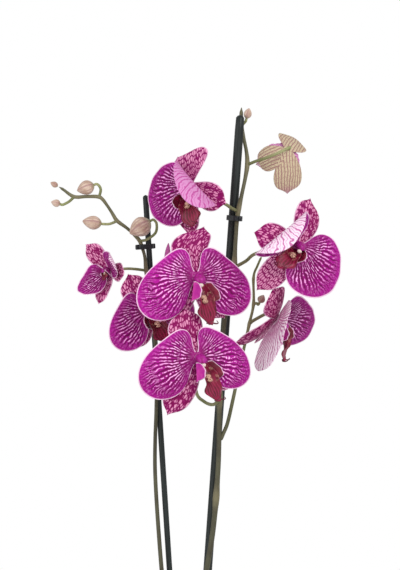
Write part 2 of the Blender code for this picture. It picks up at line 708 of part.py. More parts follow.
def leaf_surface(u, b, leaf):
    """A strap that arches over: b runs from its foot to its tip, u across its folded width."""
    azimuth, foot, rise, droop, length, half_width = leaf
    v = (b + 1) / 2
    length, half_width = length * MM, half_width * MM
    width = half_width * (0.32 + 0.68 * np.sin(0.5 * math.pi * np.clip(v / 0.55, 0, 1)))
    width = width * np.sqrt(np.clip(1 - (np.clip(v - 0.55, 0, 1) / 0.45) ** 2.6, 0, 1)) + 2 * MM * v
    start, turn = math.radians(rise), math.radians(droop - rise)
    out, up = bent(v * length, length, start, turn)
    heading = start + turn * v
    fold = math.radians(14) + math.radians(22) * (1 - v) ** 3
    across = u * width * np.cos(fold)
    lift = np.abs(u) * width * np.sin(fold)
    distance = CROWN_RADIUS + GAP + LEAF_THICKNESS + out - lift * np.sin(heading)
    height = BARK_LEVEL + GAP + foot * MM + up + lift * np.cos(heading)
    direction = math.radians(azimuth)
    x = distance * math.cos(direction) - across * math.sin(direction)
    y = distance * math.sin(direction) + across * math.cos(direction)
    return np.stack([x, y, height], axis=1)


def build_leaf(name, holder):
    bm = grid(4, 9)
    shape_sheet(bm, lambda u, b: leaf_surface(u, b, LEAVES[name]))
    shell(object_from(bm, name, "leaf", holder), LEAF_THICKNESS)


def build_root(name, holder):
    reach = (liner_radius(BARK_LEVEL) - LINER_WALL - CROWN_RADIUS) / MM
    points = []
    for azimuth, share, height in ROOTS[name]:
        turn, out = math.radians(azimuth), CROWN_RADIUS / MM + share * reach
        points.append((out * math.cos(turn), out * math.sin(turn), height))
    count = 4 * len(points)
    radii = ROOT_RADIUS * np.linspace(1.05, 0.8, count)
    tube(name, smooth_route(points, count), radii, "root", holder)


def main():
    for old in list(bpy.data.objects):
        bpy.data.objects.remove(old)
    plant = collection_named("potted_orchid")
    cutters = collection_named("cutters", shown=False)

    build_pot(plant)
    build_liner(plant)
    holes = build_stakes(plant, cutters)
    build_bark(plant, holes)
    for name in CLIPS:
        build_clip(name, plant)
    branches = [(BRANCH_ROUTE, BRANCH_RADIUS)]
    right_stalks = {**RIGHT_STALKS, **BRANCH_STALKS}
    build_spike("left_spike", LEFT_SPIKE_ROUTE, LEFT_SPIKE_RADIUS, [], LEFT_STALKS, plant, cutters)
    build_spike(
        "right_spike", RIGHT_SPIKE_ROUTE, RIGHT_SPIKE_RADIUS, branches, right_stalks, plant, cutters
    )
    for flower in FLOWERS:
        build_sepals(flower, plant)
        build_petals(flower, plant)
        build_lip(flower, plant)
        build_column(flower, plant)
    for name in BUDS:
        build_bud(name, plant)
    build_crown(plant)
    for name in LEAVES:
        build_leaf(name, plant)
    for name in ROOTS:
        build_root(name, plant)


main()
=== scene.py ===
"""Potted moth orchid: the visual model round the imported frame, laid out as an add-on."""

import math
from collections import namedtuple

import bpy
import numpy as np
from mathutils import Matrix


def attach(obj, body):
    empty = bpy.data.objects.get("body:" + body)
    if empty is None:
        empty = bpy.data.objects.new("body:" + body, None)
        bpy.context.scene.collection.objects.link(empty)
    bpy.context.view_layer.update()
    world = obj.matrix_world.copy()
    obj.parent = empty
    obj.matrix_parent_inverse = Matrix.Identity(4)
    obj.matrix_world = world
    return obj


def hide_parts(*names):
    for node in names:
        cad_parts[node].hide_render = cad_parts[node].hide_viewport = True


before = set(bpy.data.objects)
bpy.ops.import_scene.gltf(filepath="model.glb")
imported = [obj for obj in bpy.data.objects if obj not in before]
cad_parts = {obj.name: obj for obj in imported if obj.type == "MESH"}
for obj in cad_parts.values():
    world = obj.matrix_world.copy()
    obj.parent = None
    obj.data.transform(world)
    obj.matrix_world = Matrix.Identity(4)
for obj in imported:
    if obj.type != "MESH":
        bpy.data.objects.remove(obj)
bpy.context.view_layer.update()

bl_info = {
    "name": "Potted moth orchid",
    "version": (1, 0, 0),
    "blender": (4, 5, 0),
    "location": "3D View > Sidebar > Orchid",
    "description": "Builds a staked moth orchid with veined flowers in a glazed pot",
    "category": "Add Mesh",
}

MM = 0.001

# In millimetres
POT_HEIGHT, POT_TOP_RADIUS, POT_FOOT_RADIUS = 128.0, 68.0, 50.0
BARK_LEVEL = 116.0
LEFT_STEM_RADIUS, RIGHT_STEM_RADIUS = 2.2, 2.8

# How a flower is posed: its middle in millimetres, its turns in degrees, its share of the full
# size, and its cup, which is how far its blades tilt at its middle and curl from there. Each petal
# is given by its lift in the flower's own plane, its tilt forward and its curl, all in degrees.
Flower = namedtuple("Flower", "name centre yaw pitch roll size cup left_petal right_petal")
FLOWERS = (
    Flower("flower_1", (0, -27, 589), -35, 0, -20, 0.9, (-2, -10), (10, 10, -6), (26, 24, 128)),
    Flower("flower_2", (5.5, -58, 509.5), 14, 0, 3, 0.98, (-4, -12), (0, 4, -6), (10, 4, -6)),
    Flower("flower_3", (6.4, -68.6, 439.5), 16, 2, -6, 0.95, (-4, -12), (11, 4, -6), (11, 4, -6)),
    Flower("flower_4", (-73, 2, 516), -42, 4, -40, 0.6, (12, 30), (0, 14, 20), (0, -12, 60)),
    Flower("flower_5", (-37.3, -20, 481), 14, 0, -27, 0.77, (-4, -12), (9, 4, -6), (0, 4, -6)),
    Flower("flower_6", (93.7, -37, 537), 32, 0, 32, 0.95, (-2, -12), (22, 4, 142), (-14, 20, -6)),
    Flower("flower_7", (78, -3, 473), 68, -34, 0, 0.93, (-4, -10), (-6, 43, 8), (24, 30, 12)),
    Flower("flower_8", (88, 12, 624), -165, -22, -35, 0.82, (22, 38), (0, 0, 10), (0, 0, 10)),
)
# What a flower has of its own. For its top, right and left sepal: turns round to the right in
# degrees, and lengths and widths as shares of the usual ones. The sway bows the top sepal to one
# side and then its tip, in millimetres. For its left and right petal: breadths and sizes as
# shares, and fans, which are the ray of the longest reach and how slowly the reach falls above and
# below it, in degrees. The lip turns to the right and lifts forward, and its side lobes lean out,
# in degrees. Pale is painted light and shade on the petals' backs: the higher it is, the paler a
# flower's backs are drawn as painted light, and the lower, the deeper as painted shade. Young is
# how cream the sepals' backs are.
USUAL_FANS = ((-35, 42, 42), (-35, 42, 33))
Habit = namedtuple(
    "Habit",
    "turns lengths widths sway breadths petal_sizes fans lip_turn lip_lift lip_size lobes pale young",
    defaults=(
        (0, 0, 0), (1, 1, 1), (1, 1, 1), (0, 0), (1, 1), (1, 1), USUAL_FANS, 0, 0, 1, (16, 16), 0.5,
        0,
    ),
)
# Pale paints light and shade per flower: flower_1's petal backs are drawn deep as painted shade, and
# the higher values of flower_4, flower_6 and flower_7 draw theirs paler as painted light.
HABITS = {
    "flower_1": Habit(
        turns=(-13, -4, -8), lengths=(0.8, 0.78, 0.95), widths=(2.3, 1, 1), sway=(-5, 0),
        breadths=(0.86, 0.78), petal_sizes=(0.98, 1.04), fans=((-14, 62, 50), USUAL_FANS[1]),
        pale=0,
    ),
    "flower_2": Habit(
        turns=(4, 0, -9), lengths=(1, 0.95, 1), sway=(-9, 5), breadths=(0.99, 0.97), lip_turn=30,
        lobes=(2, 24),
    ),
    "flower_3": Habit(
        turns=(0, -11, -12), lengths=(1, 1, 1.16), sway=(-6, -2), breadths=(1, 0.94), lip_turn=30,
        lobes=(2, 24),
    ),
    "flower_4": Habit(lengths=(1.1, 1, 1), breadths=(1.25, 1), pale=0.9, young=0.35),
    "flower_5": Habit(sway=(-3, 0)),
    "flower_6": Habit(
        turns=(-4, 50, 34), lengths=(1.1, 1.06, 0.8), widths=(0.9, 1, 1), sway=(3, 0),
        breadths=(1, 1.02), petal_sizes=(1.07, 0.88), fans=(USUAL_FANS[0], (-2, 78, 70)),
        lip_turn=-24, lip_lift=10, lip_size=0.85, pale=0.8,
    ),
    "flower_7": Habit(
        turns=(-48, 0, -16), lengths=(0.88, 1, 0.95), lip_turn=10, lip_lift=24, pale=1,
    ),
    "flower_8": Habit(
        lengths=(0.95, 0.74, 0.95), widths=(1.2, 1.1, 1.35), petal_sizes=(0.56, 0.6), young=1,
    ),
}
# Stems and stalks: points in millimetres from foot to tip
LEFT_SPIKE_ROUTE = (
    (-6, 13, 136), (-10, 16, 150), (-18, 18, 185), (-24, 18, 225), (-28.7, 18, 280),
    (-31.7, 18, 330), (-31.7, 17, 361.7), (-30.7, 14, 390), (-30.4, 12, 421), (-31.7, 11, 452.7),
    (-35.8, 10, 489), (-39.6, 10, 514), (-40.9, 9.5, 527.8), (-43.3, 9.5, 536.4),
    (-45.6, 8.5, 542.5), (-49.5, 7.5, 547), (-57.1, 5.5, 554), (-65.8, 3.5, 560.4),
    (-70.2, 1.5, 567.4), (-76.1, -1, 576.3), (-81.5, -2.5, 581.6), (-93.7, -4, 581.9),
    (-104.1, -5, 581.7), (-113.5, -6, 588), (-117.5, -7, 590.5),
)
RIGHT_SPIKE_ROUTE = (
    (6, 13, 136), (7.5, 15, 152), (8.5, 17, 185), (12, 17, 225), (20.8, 13, 280.5), (25, 10, 330),
    (26.2, 8.5, 362.3), (26.6, 6.5, 398.6), (28.4, 4, 434.8), (30.6, 2, 466.4), (35.1, -1, 493.5),
    (39.4, -3, 517.8), (41.1, -3, 543), (42.6, -3.4, 563.6), (45.9, -2.5, 580.8),
    (49.4, 0, 597), (51.6, 3, 610.7), (51, 7.5, 622.7), (48.5, 9.5, 635.5), (46.2, 9.5, 648),
    (46.5, 9, 663),
)
BRANCH_ROUTE = (
    (27, 8, 361), (30, 9.5, 368), (34, 9.8, 378), (39.3, 8, 401.3), (46, 6, 433), (53.2, 3, 466.4),
    (57.2, 1, 485.4), (57.3, 3, 509.7), (61, 7, 520), (65, 10, 529),
)
LEFT_STALKS = {
    "flower_4": ((-39.8, 10, 515.6), (-48.8, 9, 516.8), (-58, 7, 517.2)),
    "flower_5": ((-36, 10, 490), (-38, 6, 484)),
    "left_bud_1": ((-45.4, 8.5, 542.2), (-38.8, 2, 543.5), (-31, -1, 549.5), (-30, -2, 557.5),
                   (-32.5, -2, 561)),
    "left_bud_2": ((-65.8, 3.5, 560.2), (-72, 1, 557.6)),
    "left_bud_3": ((-82, -2.5, 580.7), (-80.2, -3, 587.6), (-81.6, -3.5, 591.6)),
    "left_bud_4": ((-102.8, -5, 582.6), (-105, -5.4, 580.6), (-108.4, -6, 577.4)),
    "hidden_bud": ((-32.5, 10.5, 466), (-27, 9, 480), (-22.5, 6, 500)),
}
RIGHT_STALKS = {
    "flower_1": ((43.2, -3, 568.5), (37, -9, 571.5), (29.5, -15, 576)),
    "flower_2": ((39.2, -3, 516), (33, -14, 516.5), (22, -27, 514)),
    "flower_3": ((26.6, 6.5, 398.6), (20.5, -3, 395), (12.6, -15, 398.5), (5.6, -28, 408)),
    "flower_6": ((40.3, -3, 518.5), (50.2, -7, 524), (60, -9, 531)),
    "flower_8": ((51.6, 3, 610.7), (58.5, 0, 613.6), (68.3, -2, 616.7), (79, -3, 621)),
    "top_bud": ((46.3, 9.5, 646), (49.5, 7, 649.5)),
}
BRANCH_STALKS = {
    "flower_7": ((53.5, 3, 467.5), (58, 1, 471)),
    "branch_bud": ((57.2, 1, 485.4), (60, 0, 486)),
}
# Buds: foot and tip in millimetres, and the greatest radius
BUDS = {
    "left_bud_1": ((-35.6, -2, 560), (-54.2, -3, 548.6), 8.8),
    "left_bud_2": ((-79.4, 0.5, 557.6), (-96.8, -1, 560), 6.2),
    "left_bud_3": ((-86, -4, 592.4), (-101.4, -5.5, 587), 6.5),
    "left_bud_4": ((-116, -7, 575), (-124.5, -8, 577), 3.4),
    "left_bud_5": ((-118.4, -7.2, 591), (-125, -8, 594.5), 2.6),
    "hidden_bud": ((-21, 4, 519), (-19.4, 2, 540.5), 4.6),
    "branch_bud": ((62.4, -0.6, 486.6), (66.4, -2, 493.5), 3.5),
    "top_bud": ((50.9, 5.6, 652.6), (53.4, 3.5, 662), 3.6),
}
# Stakes: foot and top in millimetres, and the radius
STAKES = {
    "left_stake": ((-10.5, 28, 112.5), (-40.4, 12, 584), 2.6),
    "right_stake": ((6.7, 30, 112.1), (45.3, 0, 655.5), 4.0),
}
# Clips: the stake and the stem that each holds together, the stem's radius there, and its height
CLIPS = {
    "left_upper_clip": ("left_stake", LEFT_SPIKE_ROUTE, LEFT_STEM_RADIUS, 537.5),
    "left_lower_clip": ("left_stake", LEFT_SPIKE_ROUTE, LEFT_STEM_RADIUS, 236),
    "right_upper_clip": ("right_stake", RIGHT_SPIKE_ROUTE, RIGHT_STEM_RADIUS, 563),
    "right_lower_clip": ("right_stake", RIGHT_SPIKE_ROUTE, RIGHT_STEM_RADIUS, 232),
}
# Leaves: the way each grows, its foot's height over the bark, how it rises at its foot and falls
# at its tip, in degrees, its length and its half width
LEAVES = {
    "leaf_1": (193, 4, 26, -38, 166.5, 31),
    "leaf_2": (-12, 9, 32, -34, 174, 32),
    "leaf_3": (202, 19, 44, -26, 160, 30),
    "leaf_4": (-24, 26, 52, -20, 146, 28),
    "leaf_5": (186, 35, 60, 8, 92, 19),
}
# Roots: points in millimetres, their height measured from the bark
ROOTS = {
    "root_1": ((11, -5, 6), (24, -16, 11), (38, -30, 7), (47, -36, 3.6)),
    "root_2": ((-5, -11.5, 5), (-11, -24, 12), (-18, -40, 8), (-21, -48, 3.6)),
    "root_3": ((12, 3, 8), (28, 12, 22), (52, 24, 26), (68, 32, 16), (74, 35, 0), (75, 36, -18)),
}


def colour(name, default, words):
    """A colour that the user may change."""
    return bpy.props.FloatVectorProperty(
        name=name, description=words, default=default, size=3, min=0, max=1, subtype="COLOR",
    )


def length(name, default, words):
    """A length in metres that the user may change."""
    return bpy.props.FloatProperty(
        name=name, description=words, default=default, min=0.0, soft_max=0.2, unit="LENGTH",
    )


# Shader maths ------------------------------------------------------------------------------------


class Sock:
    """A node's output socket, on which arithmetic adds Math nodes."""

    def __init__(self, nodes, socket):
        self.nodes = nodes
        self.socket = socket

    def math(self, operation, *others):
        return self.nodes.node("ShaderNodeMath", {"operation": operation}, self, *others)

    def __add__(self, other):
        return self.math("ADD", other)

    def __sub__(self, other):
        return self.math("SUBTRACT", other)

    def __mul__(self, other):
        return self.math("MULTIPLY", other)

    def __truediv__(self, other):
        return self.math("DIVIDE", other)

    def __rsub__(self, other):
        return self.nodes.node("ShaderNodeMath", {"operation": "SUBTRACT"}, other, self)

    __radd__ = __add__
    __rmul__ = __mul__

    def step(self, low, high):
        """0 below low, 1 above high and smooth between them, or the other way round."""
        if low < high:
            ends = (0.0, 1.0)
        else:
            low, high, ends = high, low, (1.0, 0.0)
        settings = {"interpolation_type": "SMOOTHSTEP"}
        return self.nodes.node("ShaderNodeMapRange", settings, self, low, high, *ends)


class Nodes:
    """A node tree. The one method that adds a node takes its settings and its sockets."""

    def __init__(self, tree):
        self.tree = tree

    def node(self, kind, settings, *inputs, out=0, **named):
        """A new node: its settings are set first, then its sockets by place or by name."""
        made = self.tree.nodes.new(kind)
        for setting, value in settings.items():
            setattr(made, setting, value)
        for key, value in [*enumerate(inputs), *named.items()]:
            socket = made.inputs[key]
            if isinstance(value, Sock):
                self.tree.links.new(value.socket, socket)
            elif value is not None:
                socket.default_value = value
        return Sock(self, made.outputs[out])


class Recipe(Nodes):
    """A material: its shader's constants are set at the start, and what varies is fed at the end."""

    def __init__(self, name, roughness=0.5, **constants):
        self.material = bpy.data.materials.new(name)
        self.material.use_nodes = True
        super().__init__(self.material.node_tree)
        self.shader = self.tree.nodes["Principled BSDF"]
        self.shader.inputs["Roughness"].default_value = roughness
        for socket, value in constants.items():
            self.shader.inputs[socket.replace("_", " ")].default_value = value

    def place(self):
        """The place on the object, in metres."""
        return self.node("ShaderNodeTexCoord", {}, out="Object")

    def attribute(self, name):
        """A number that the mesh carries at each of its points."""
        return self.node("ShaderNodeAttribute", {"attribute_name": name}, out="Fac")

    def vector(self, x, y, z=0.0):
        return self.node("ShaderNodeCombineXYZ", {}, x, y, z)

    def stretched(self, vector, scale):
        """The vector with its three parts scaled by their own factors."""
        return self.node("ShaderNodeMapping", {}, Vector=vector, Scale=scale)

    def noise(self, vector, scale, detail=2.0, roughness=0.5):
        return self.node(
            "ShaderNodeTexNoise", {}, Vector=vector, Scale=scale, Detail=detail, Roughness=roughness
        )

    def cells(self, vector, scale=1.0, randomness=0.8, feature="DISTANCE_TO_EDGE"):
        """The distance to the edge of a scattered cell, or with F1 to its middle."""
        return self.node(
            "ShaderNodeTexVoronoi", {"feature": feature}, Vector=vector, Scale=scale,
            Randomness=randomness, out="Distance",
        )

    def mix(self, share, low, high):
        """Between two colours, each a socket or a red, green and blue."""
        low, high = (value if isinstance(value, Sock) else (*value, 1) for value in (low, high))
        # The colours' sockets are the node's seventh and eighth, and the ones before are not used
        unused = [None] * 5
        return self.node("ShaderNodeMix", {"data_type": "RGBA"}, share, *unused, low, high, out=2)

    def finish(self, shade, bump=None, roughness=None, strength=0.3, distance=0.3 * MM):
        """Feeds the shader, and returns the material."""
        links = self.tree.links
        links.new(shade.socket, self.shader.inputs["Base Color"])
        if roughness is not None:
            links.new(roughness.socket, self.shader.inputs["Roughness"])
        if bump is not None:
            normal = self.node(
                "ShaderNodeBump", {}, Strength=strength, Distance=distance, Height=bump
            )
            links.new(normal.socket, self.shader.inputs["Normal"])
        return self.material


# Surfaces ----------------------------------------------------------------------------------------


def quads(rows, columns, wrap=False):
    """The faces of a grid of rows by columns, whose columns may close on themselves."""
    row, column = np.mgrid[0:rows - 1, 0:columns if wrap else columns - 1]
    after = (column + 1) % columns
    faces = np.stack(
        [row * columns + column, row * columns + after, (row + 1) * columns + after,
         (row + 1) * columns + column], axis=-1,
    )
    return faces.reshape(-1, 4)


def closed_faces(rings, sides):
    """The faces of rings of points, whose end rings are closed on the two points after them all."""
    ring = np.arange(sides)
    after = (ring + 1) % sides
    last, total = (rings - 1) * sides, rings * sides
    start = np.stack([after, ring, np.full(sides, total)], axis=1)
    end = np.stack([last + ring, last + after, np.full(sides, total + 1)], axis=1)
    return [quads(rings, sides, wrap=True), start, end]


def round_angles(count):
    """Evenly spread angles round a circle."""
    return np.linspace(0, 2 * math.pi, count, endpoint=False)


def unit(vectors):
    """The vectors, each divided by its own length."""
    return vectors / np.maximum(np.linalg.norm(vectors, axis=-1, keepdims=True), 1e-12)


class Build:
    """Shells gathered into one mesh. Each shell brings its points, faces and point attributes."""

    def __init__(self):
        self.points = []
        self.faces = []
        self.values = []
        self.count = 0

    def add(self, points, faces, **values):
        """Adds a shell: its points, its arrays of faces and its values at the points."""
        self.points.append(points)
        for part in faces:
            self.faces += (part + self.count).tolist()
        self.values.append({name: np.broadcast_to(v, len(points)) for name, v in values.items()})
        self.count += len(points)

    def sheet(self, middle, thickness, **values):
        """A closed leaf-thin shell: the grid's middle surface, moved half the thickness each way
        along its normal, with a rim round its four sides. `front` is 1 on the side the normal
        points to and 0 on the other. The normal is the row direction crossed with the columns'."""
        rows, columns = middle.shape[:2]
        normal = unit(np.cross(np.gradient(middle, axis=0), np.gradient(middle, axis=1)))
        offset = normal * (np.broadcast_to(thickness, (rows, columns)) / 2)[..., None]
        points = np.concatenate([(middle + offset).reshape(-1, 3), (middle - offset).reshape(-1, 3)])
        total = rows * columns
        index = np.arange(total).reshape(rows, columns)
        loop = np.concatenate([index[0], index[1:, -1], index[-1, -2::-1], index[-2:0:-1, 0]])
        after = np.roll(loop, -1)
        top = quads(rows, columns)[:, ::-1]
        rim = np.stack([loop, after, after + total, loop + total], axis=1)
        front = np.repeat([1.0, 0.0], total)
        both = {
            name: np.tile(np.broadcast_to(v, (rows, columns)).ravel(), 2)
            for name, v in values.items()
        }
        self.add(points, [top, top[:, ::-1] + total, rim], front=front, **both)

    def sweep(self, path, across, up, profile_x, profile_y, **values):
        """A closed solid: each of the path's points carries a ring, whose points lie profile_x
        along `across` and profile_y along `up`. Both ends are closed on their middle points."""
        rings, sides = profile_x.shape
        offset = across[:, None] * profile_x[..., None] + up[:, None] * profile_y[..., None]
        body = path[:, None] + offset
        points = np.concatenate([body.reshape(-1, 3), path[:1], path[-1:]])
        full = {name: np.broadcast_to(v, (rings, sides)) for name, v in values.items()}
        full = {name: np.concatenate([v.ravel(), v[[0, -1], 0]]) for name, v in full.items()}
        self.add(points, closed_faces(rings, sides), **full)

    def tube(self, path, radii, sides=12, **values):
        """A round sweep whose radius goes to nothing over a rounded end of its own radius."""
        tangent = unit(np.gradient(path, axis=0))
        _, _, axes = np.linalg.svd(path - path.mean(0), full_matrices=False)
        across = unit(np.cross(tangent, axes[2]))
        up = np.cross(tangent, across)
        run = np.concatenate([[0], np.cumsum(np.linalg.norm(np.diff(path, axis=0), axis=1))])
        near = np.minimum(run, run[-1] - run) / np.maximum(radii, 1e-6)
        round_off = np.sqrt(np.clip(1 - (1 - np.clip(near, 0, 1)) ** 2, 0.02, 1))
        angle = round_angles(sides)
        ring = (radii * round_off)[:, None]
        self.sweep(path, across, up, ring * np.cos(angle), ring * np.sin(angle), **values)

    def turned(self, radius, height, sides, **values):
        """A turned solid round Z: the profile runs from the axis round to the axis again."""
        angle = round_angles(sides)
        width, level = radius[1:-1, None], height[1:-1, None]
        body = np.stack([width * np.cos(angle), width * np.sin(angle), level + 0 * angle], axis=-1)
        points = np.concatenate([body.reshape(-1, 3), [[0, 0, height[0]], [0, 0, height[-1]]]])
        faces = closed_faces(len(width), sides)
        self.add(points, [part[:, ::-1] for part in faces], **values)

    def place(self, matrix):
        """Takes every shell so far through a 4 by 4 matrix."""
        self.points = [p @ matrix[:3, :3].T + matrix[:3, 3] for p in self.points]

    def piece(self, name, material, nodes):
        """Makes the mesh, which stands for the frame's nodes, and hands it to the frame."""
        mesh = bpy.data.meshes.new(name)
        mesh.from_pydata(np.concatenate(self.points).tolist(), [], self.faces)
        names = {key for values in self.values for key in values}
        for key in sorted(names):
            column = np.concatenate([
                values.get(key, np.zeros(len(part)))
                for values, part in zip(self.values, self.points)
            ])
            layer = mesh.attributes.new(key, "FLOAT", "POINT")
            layer.data.foreach_set("value", column.astype(np.float32))
        mesh.materials.append(material)
        mesh.shade_smooth()
        mesh.validate()
        made = bpy.data.objects.new(name, mesh)
        bpy.context.scene.collection.objects.link(made)
        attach(made, "root")
        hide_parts(*nodes)


def smooth_route(points, count):
    """Evenly spread points on the Catmull-Rom curve through the given ones."""
    knots = np.array([points[0], *points, points[-1]], float)
    knots[0] = 2 * knots[1] - knots[2]
    knots[-1] = 2 * knots[-2] - knots[-3]
    t = np.linspace(0, 1, 24, endpoint=False)[None, :, None]
    a, b, c, d = (knots[i:len(knots) - 3 + i, None] for i in range(4))
    fine = 0.5 * (2 * b + (c - a) * t + (2 * a - 5 * b + 4 * c - d) * t**2
                  + (3 * b - a - 3 * c + d) * t**3)
    fine = np.concatenate([fine.reshape(-1, 3), knots[-2][None]])
    run = np.concatenate([[0], np.cumsum(np.linalg.norm(np.diff(fine, axis=0), axis=1))])
    even = np.linspace(0, run[-1], count)
    return np.stack([np.interp(even, run, fine[:, axis]) for axis in range(3)], axis=1)


def turn_matrix(axis, degrees):
    """A 4 by 4 rotation about X (0), Y (1) or Z (2)."""
    a, b = [(1, 2), (2, 0), (0, 1)][axis]
    c, s = math.cos(math.radians(degrees)), math.sin(math.radians(degrees))
    matrix = np.eye(4)
    matrix[a, a] = matrix[b, b] = c
    matrix[b, a], matrix[a, b] = s, -s
    return matrix


def flower_matrix(flower):
    """From a flower's own frame, whose z is the way it faces, to the plant's."""
    facing = np.array([[1, 0, 0, 0], [0, 0, -1, 0], [0, 1, 0, 0], [0, 0, 0, 1]], float)
    made = turn_matrix(2, flower.yaw) @ turn_matrix(0, -flower.pitch) @ facing
    made = made @ turn_matrix(2, -flower.roll)
    made[:3, 3] = np.array(flower.centre) * MM
    return made


# Flowers -----------------------------------------------------------------------------------------

BLADE_REACH = 52 * MM
SEPAL_LEVEL = -0.6 * MM
PETAL_LEVEL = 1.2 * MM
RIM_THICKNESS, BLADE_THICKENING = 0.35, 0.45  # mm, and what a blade gains away from its rim
# Of a petal, in millimetres: its least reach, what its bell adds, half its claw and its bending run
PETAL_REACH, PETAL_SWELL, PETAL_CLAW, PETAL_RUN = 29, 27, 3.5, 54
FAN_MIDDLE, FAN_HALF = -1, 82  # degrees
SEPALS = ((0, 48, 17), (138, 53, 14.5), (-138, 53, 14.5))  # direction, reach, half width
SEPAL_WIDEST = 0.58  # as a share of the reach


def bent(run, reach, tilt, curl):
    """Out and forward along an arc that leaves at the tilt and has turned by the curl at reach."""
    rate = np.where(np.abs(curl) < 1e-4, 1e-4, curl) / reach
    end = tilt + rate * run
    return (np.sin(end) - np.sin(tilt)) / rate, (np.cos(tilt) - np.cos(end)) / rate


def cupped(x, y, level, flower):
    """Points of a flat flower bent radially into its cup, their level kept along the normal."""
    away = np.hypot(x, y)
    tilt, curl = np.radians(flower.cup)
    whole = BLADE_REACH * flower.size
    out, forward = bent(away, whole, tilt, curl)
    slope = tilt + curl * away / whole
    shrink = (out - level * np.sin(slope)) / np.maximum(away, 1e-6)
    return np.stack([x * shrink, y * shrink, forward + level * np.cos(slope)], axis=-1)


def petal_sheet(build, flower, side, seed):
    """One petal: a fan of rays from its claw. A ray's reach is a bell curve round the fan's longest
    ray, and its two end rays round the fan off. Sums of sines wave the margin."""
    habit, right = HABITS[flower.name], int(side > 0)
    share = np.linspace(0, 1, 54)[:, None]
    ray = 0.985 * np.sin(0.5 * math.pi * np.linspace(-1, 1, 72)[None, :])
    angle = np.radians(FAN_MIDDLE + FAN_HALF * ray)
    peak, over, under = habit.fans[right]
    from_peak = angle - math.radians(peak)
    spread = np.radians(np.where(from_peak < 0, under, over))
    swell = np.exp(-((from_peak / spread) ** 2))
    size = flower.size * habit.petal_sizes[right]
    reach = size * (PETAL_REACH + PETAL_SWELL * swell) * MM * (1 - ray**8) ** 0.35
    run = share * reach * np.cos(angle)
    rise = share * reach * np.sin(angle) + PETAL_CLAW * MM * flower.size * ray * (1 - share)
    lift, tilt, curl = np.radians(flower.right_petal if right else flower.left_petal)
    out, forward = bent(run, PETAL_RUN * MM * flower.size, tilt, curl)
    x = (3 * MM * flower.size * (1 - (1 - share) ** 6) + out) * habit.breadths[right]
    wave = np.sin(3.3 * angle + seed) + 0.6 * np.sin(6.1 * angle + 2.3 * seed)
    relief = share**3 * 0.9 * MM * wave + 0.9 * MM * np.sin(math.pi * share) * (1 - ray**2)
    relief = relief + share**8 * 0.35 * MM * np.sin(17 * angle + seed)
    level = PETAL_LEVEL + np.maximum(forward, -0.3 * MM) + relief
    across = side * (x * np.cos(lift) - rise * np.sin(lift))
    up = x * np.sin(lift) + rise * np.cos(lift)
    points = cupped(across, up, level, flower)
    rim = np.minimum((1 - share) * reach, (1 - np.abs(ray)) * share * reach * 1.4)
    # The end rays meet at the claw, which isn't a margin
    rim = np.where(share < 0.08, np.maximum(rim, 3 * MM), rim)
    thick = MM * (RIM_THICKNESS + BLADE_THICKENING * np.clip(rim / (6 * MM), 0, 1))
    # Pale carries the light and shade painted on this flower's petal backs to the material.
    values = {"ray": angle, "reach": share * reach, "rim": rim, "tone": seed % 1.0,
              "pale": habit.pale}
    if not right:
        points, thick = points[:, ::-1], thick[:, ::-1]
        values = {key: np.broadcast_to(v, rim.shape)[:, ::-1] for key, v in values.items()}
    build.sheet(points, thick, **values)


def sepal_sheet(build, flower, number):
    """One sepal: its half width rises with a sine from its foot to its widest and falls to a blunt
    tip, which a bow of the last rows draws out to a point. It is keeled along its middle."""
    heading, reach, half = SEPALS[number]
    habit = HABITS[flower.name]
    heading = math.radians(heading + habit.turns[number])
    reach, half = reach * habit.lengths[number], half * habit.widths[number]
    v = np.linspace(0, 1, 44)[:, None]
    w = np.linspace(-1, 1, 30)[None, :]
    body = np.sin(0.5 * math.pi * np.clip(v / SEPAL_WIDEST, 0, 1)) ** 1.2
    fall = 0.05 + 0.95 * (1 - np.clip((v - 0.56) / 0.44, 0, 1) ** 2.3) ** 0.6
    foot = 3.2 if number == 0 else 6.0
    width = (foot + (half - foot) * body) * fall * MM * flower.size
    bend, tip = habit.sway if number == 0 else (0, 0)
    sway = (bend * np.sin(math.pi * v) + tip * v**3) * MM * flower.size
    bow = v**5 * (2.2 * np.abs(w) ** 2 + 2.6 * np.abs(w)) * MM * flower.size
    x = w * width
    y = reach * MM * flower.size * v - bow
    turned_x = (x + sway) * np.cos(heading) + y * np.sin(heading)
    turned_y = y * np.cos(heading) - (x + sway) * np.sin(heading)
    groove = 0.5 * MM * np.exp(-((w / 0.12) ** 2)) * v
    keel = groove - 1.1 * MM * w**2 * np.sin(math.pi * np.clip(v * 1.05, 0, 1))
    curl = (-3.5 - 2 * number) * MM * v**3 * (1 - habit.young)
    wave = 0.5 * MM * np.abs(w) ** 3 * np.sin(9 * v + number * 2.1 + flower.size * 7)
    points = cupped(turned_x, turned_y, SEPAL_LEVEL + keel + curl + wave, flower)
    rim = np.minimum((1 - np.abs(w)) * width, (1 - v) * reach * MM * flower.size)
    thick = MM * (RIM_THICKNESS + BLADE_THICKENING * np.clip(rim / (5 * MM), 0, 1))
    build.sheet(
        points[:, ::-1], thick[:, ::-1], across=x[:, ::-1], reach=y[:, ::-1], rim=rim[:, ::-1],
        young=habit.young, tone=(number * 0.31 + flower.size) % 1,
    )


def upright(path):
    """For a path in the upright middle plane: the ways across it and up from it at each point."""
    across = np.tile([1.0, 0, 0], (len(path), 1))
    return across, unit(np.cross(unit(np.gradient(path, axis=0)), across))


# Which part of the lip a point is on
LIP_BLADE, LIP_LOBE, LIP_CALLUS, LIP_TENDRIL = 0.0, 1.0, 2.0, 3.0
LOBE_REACH = 15.5  # mm


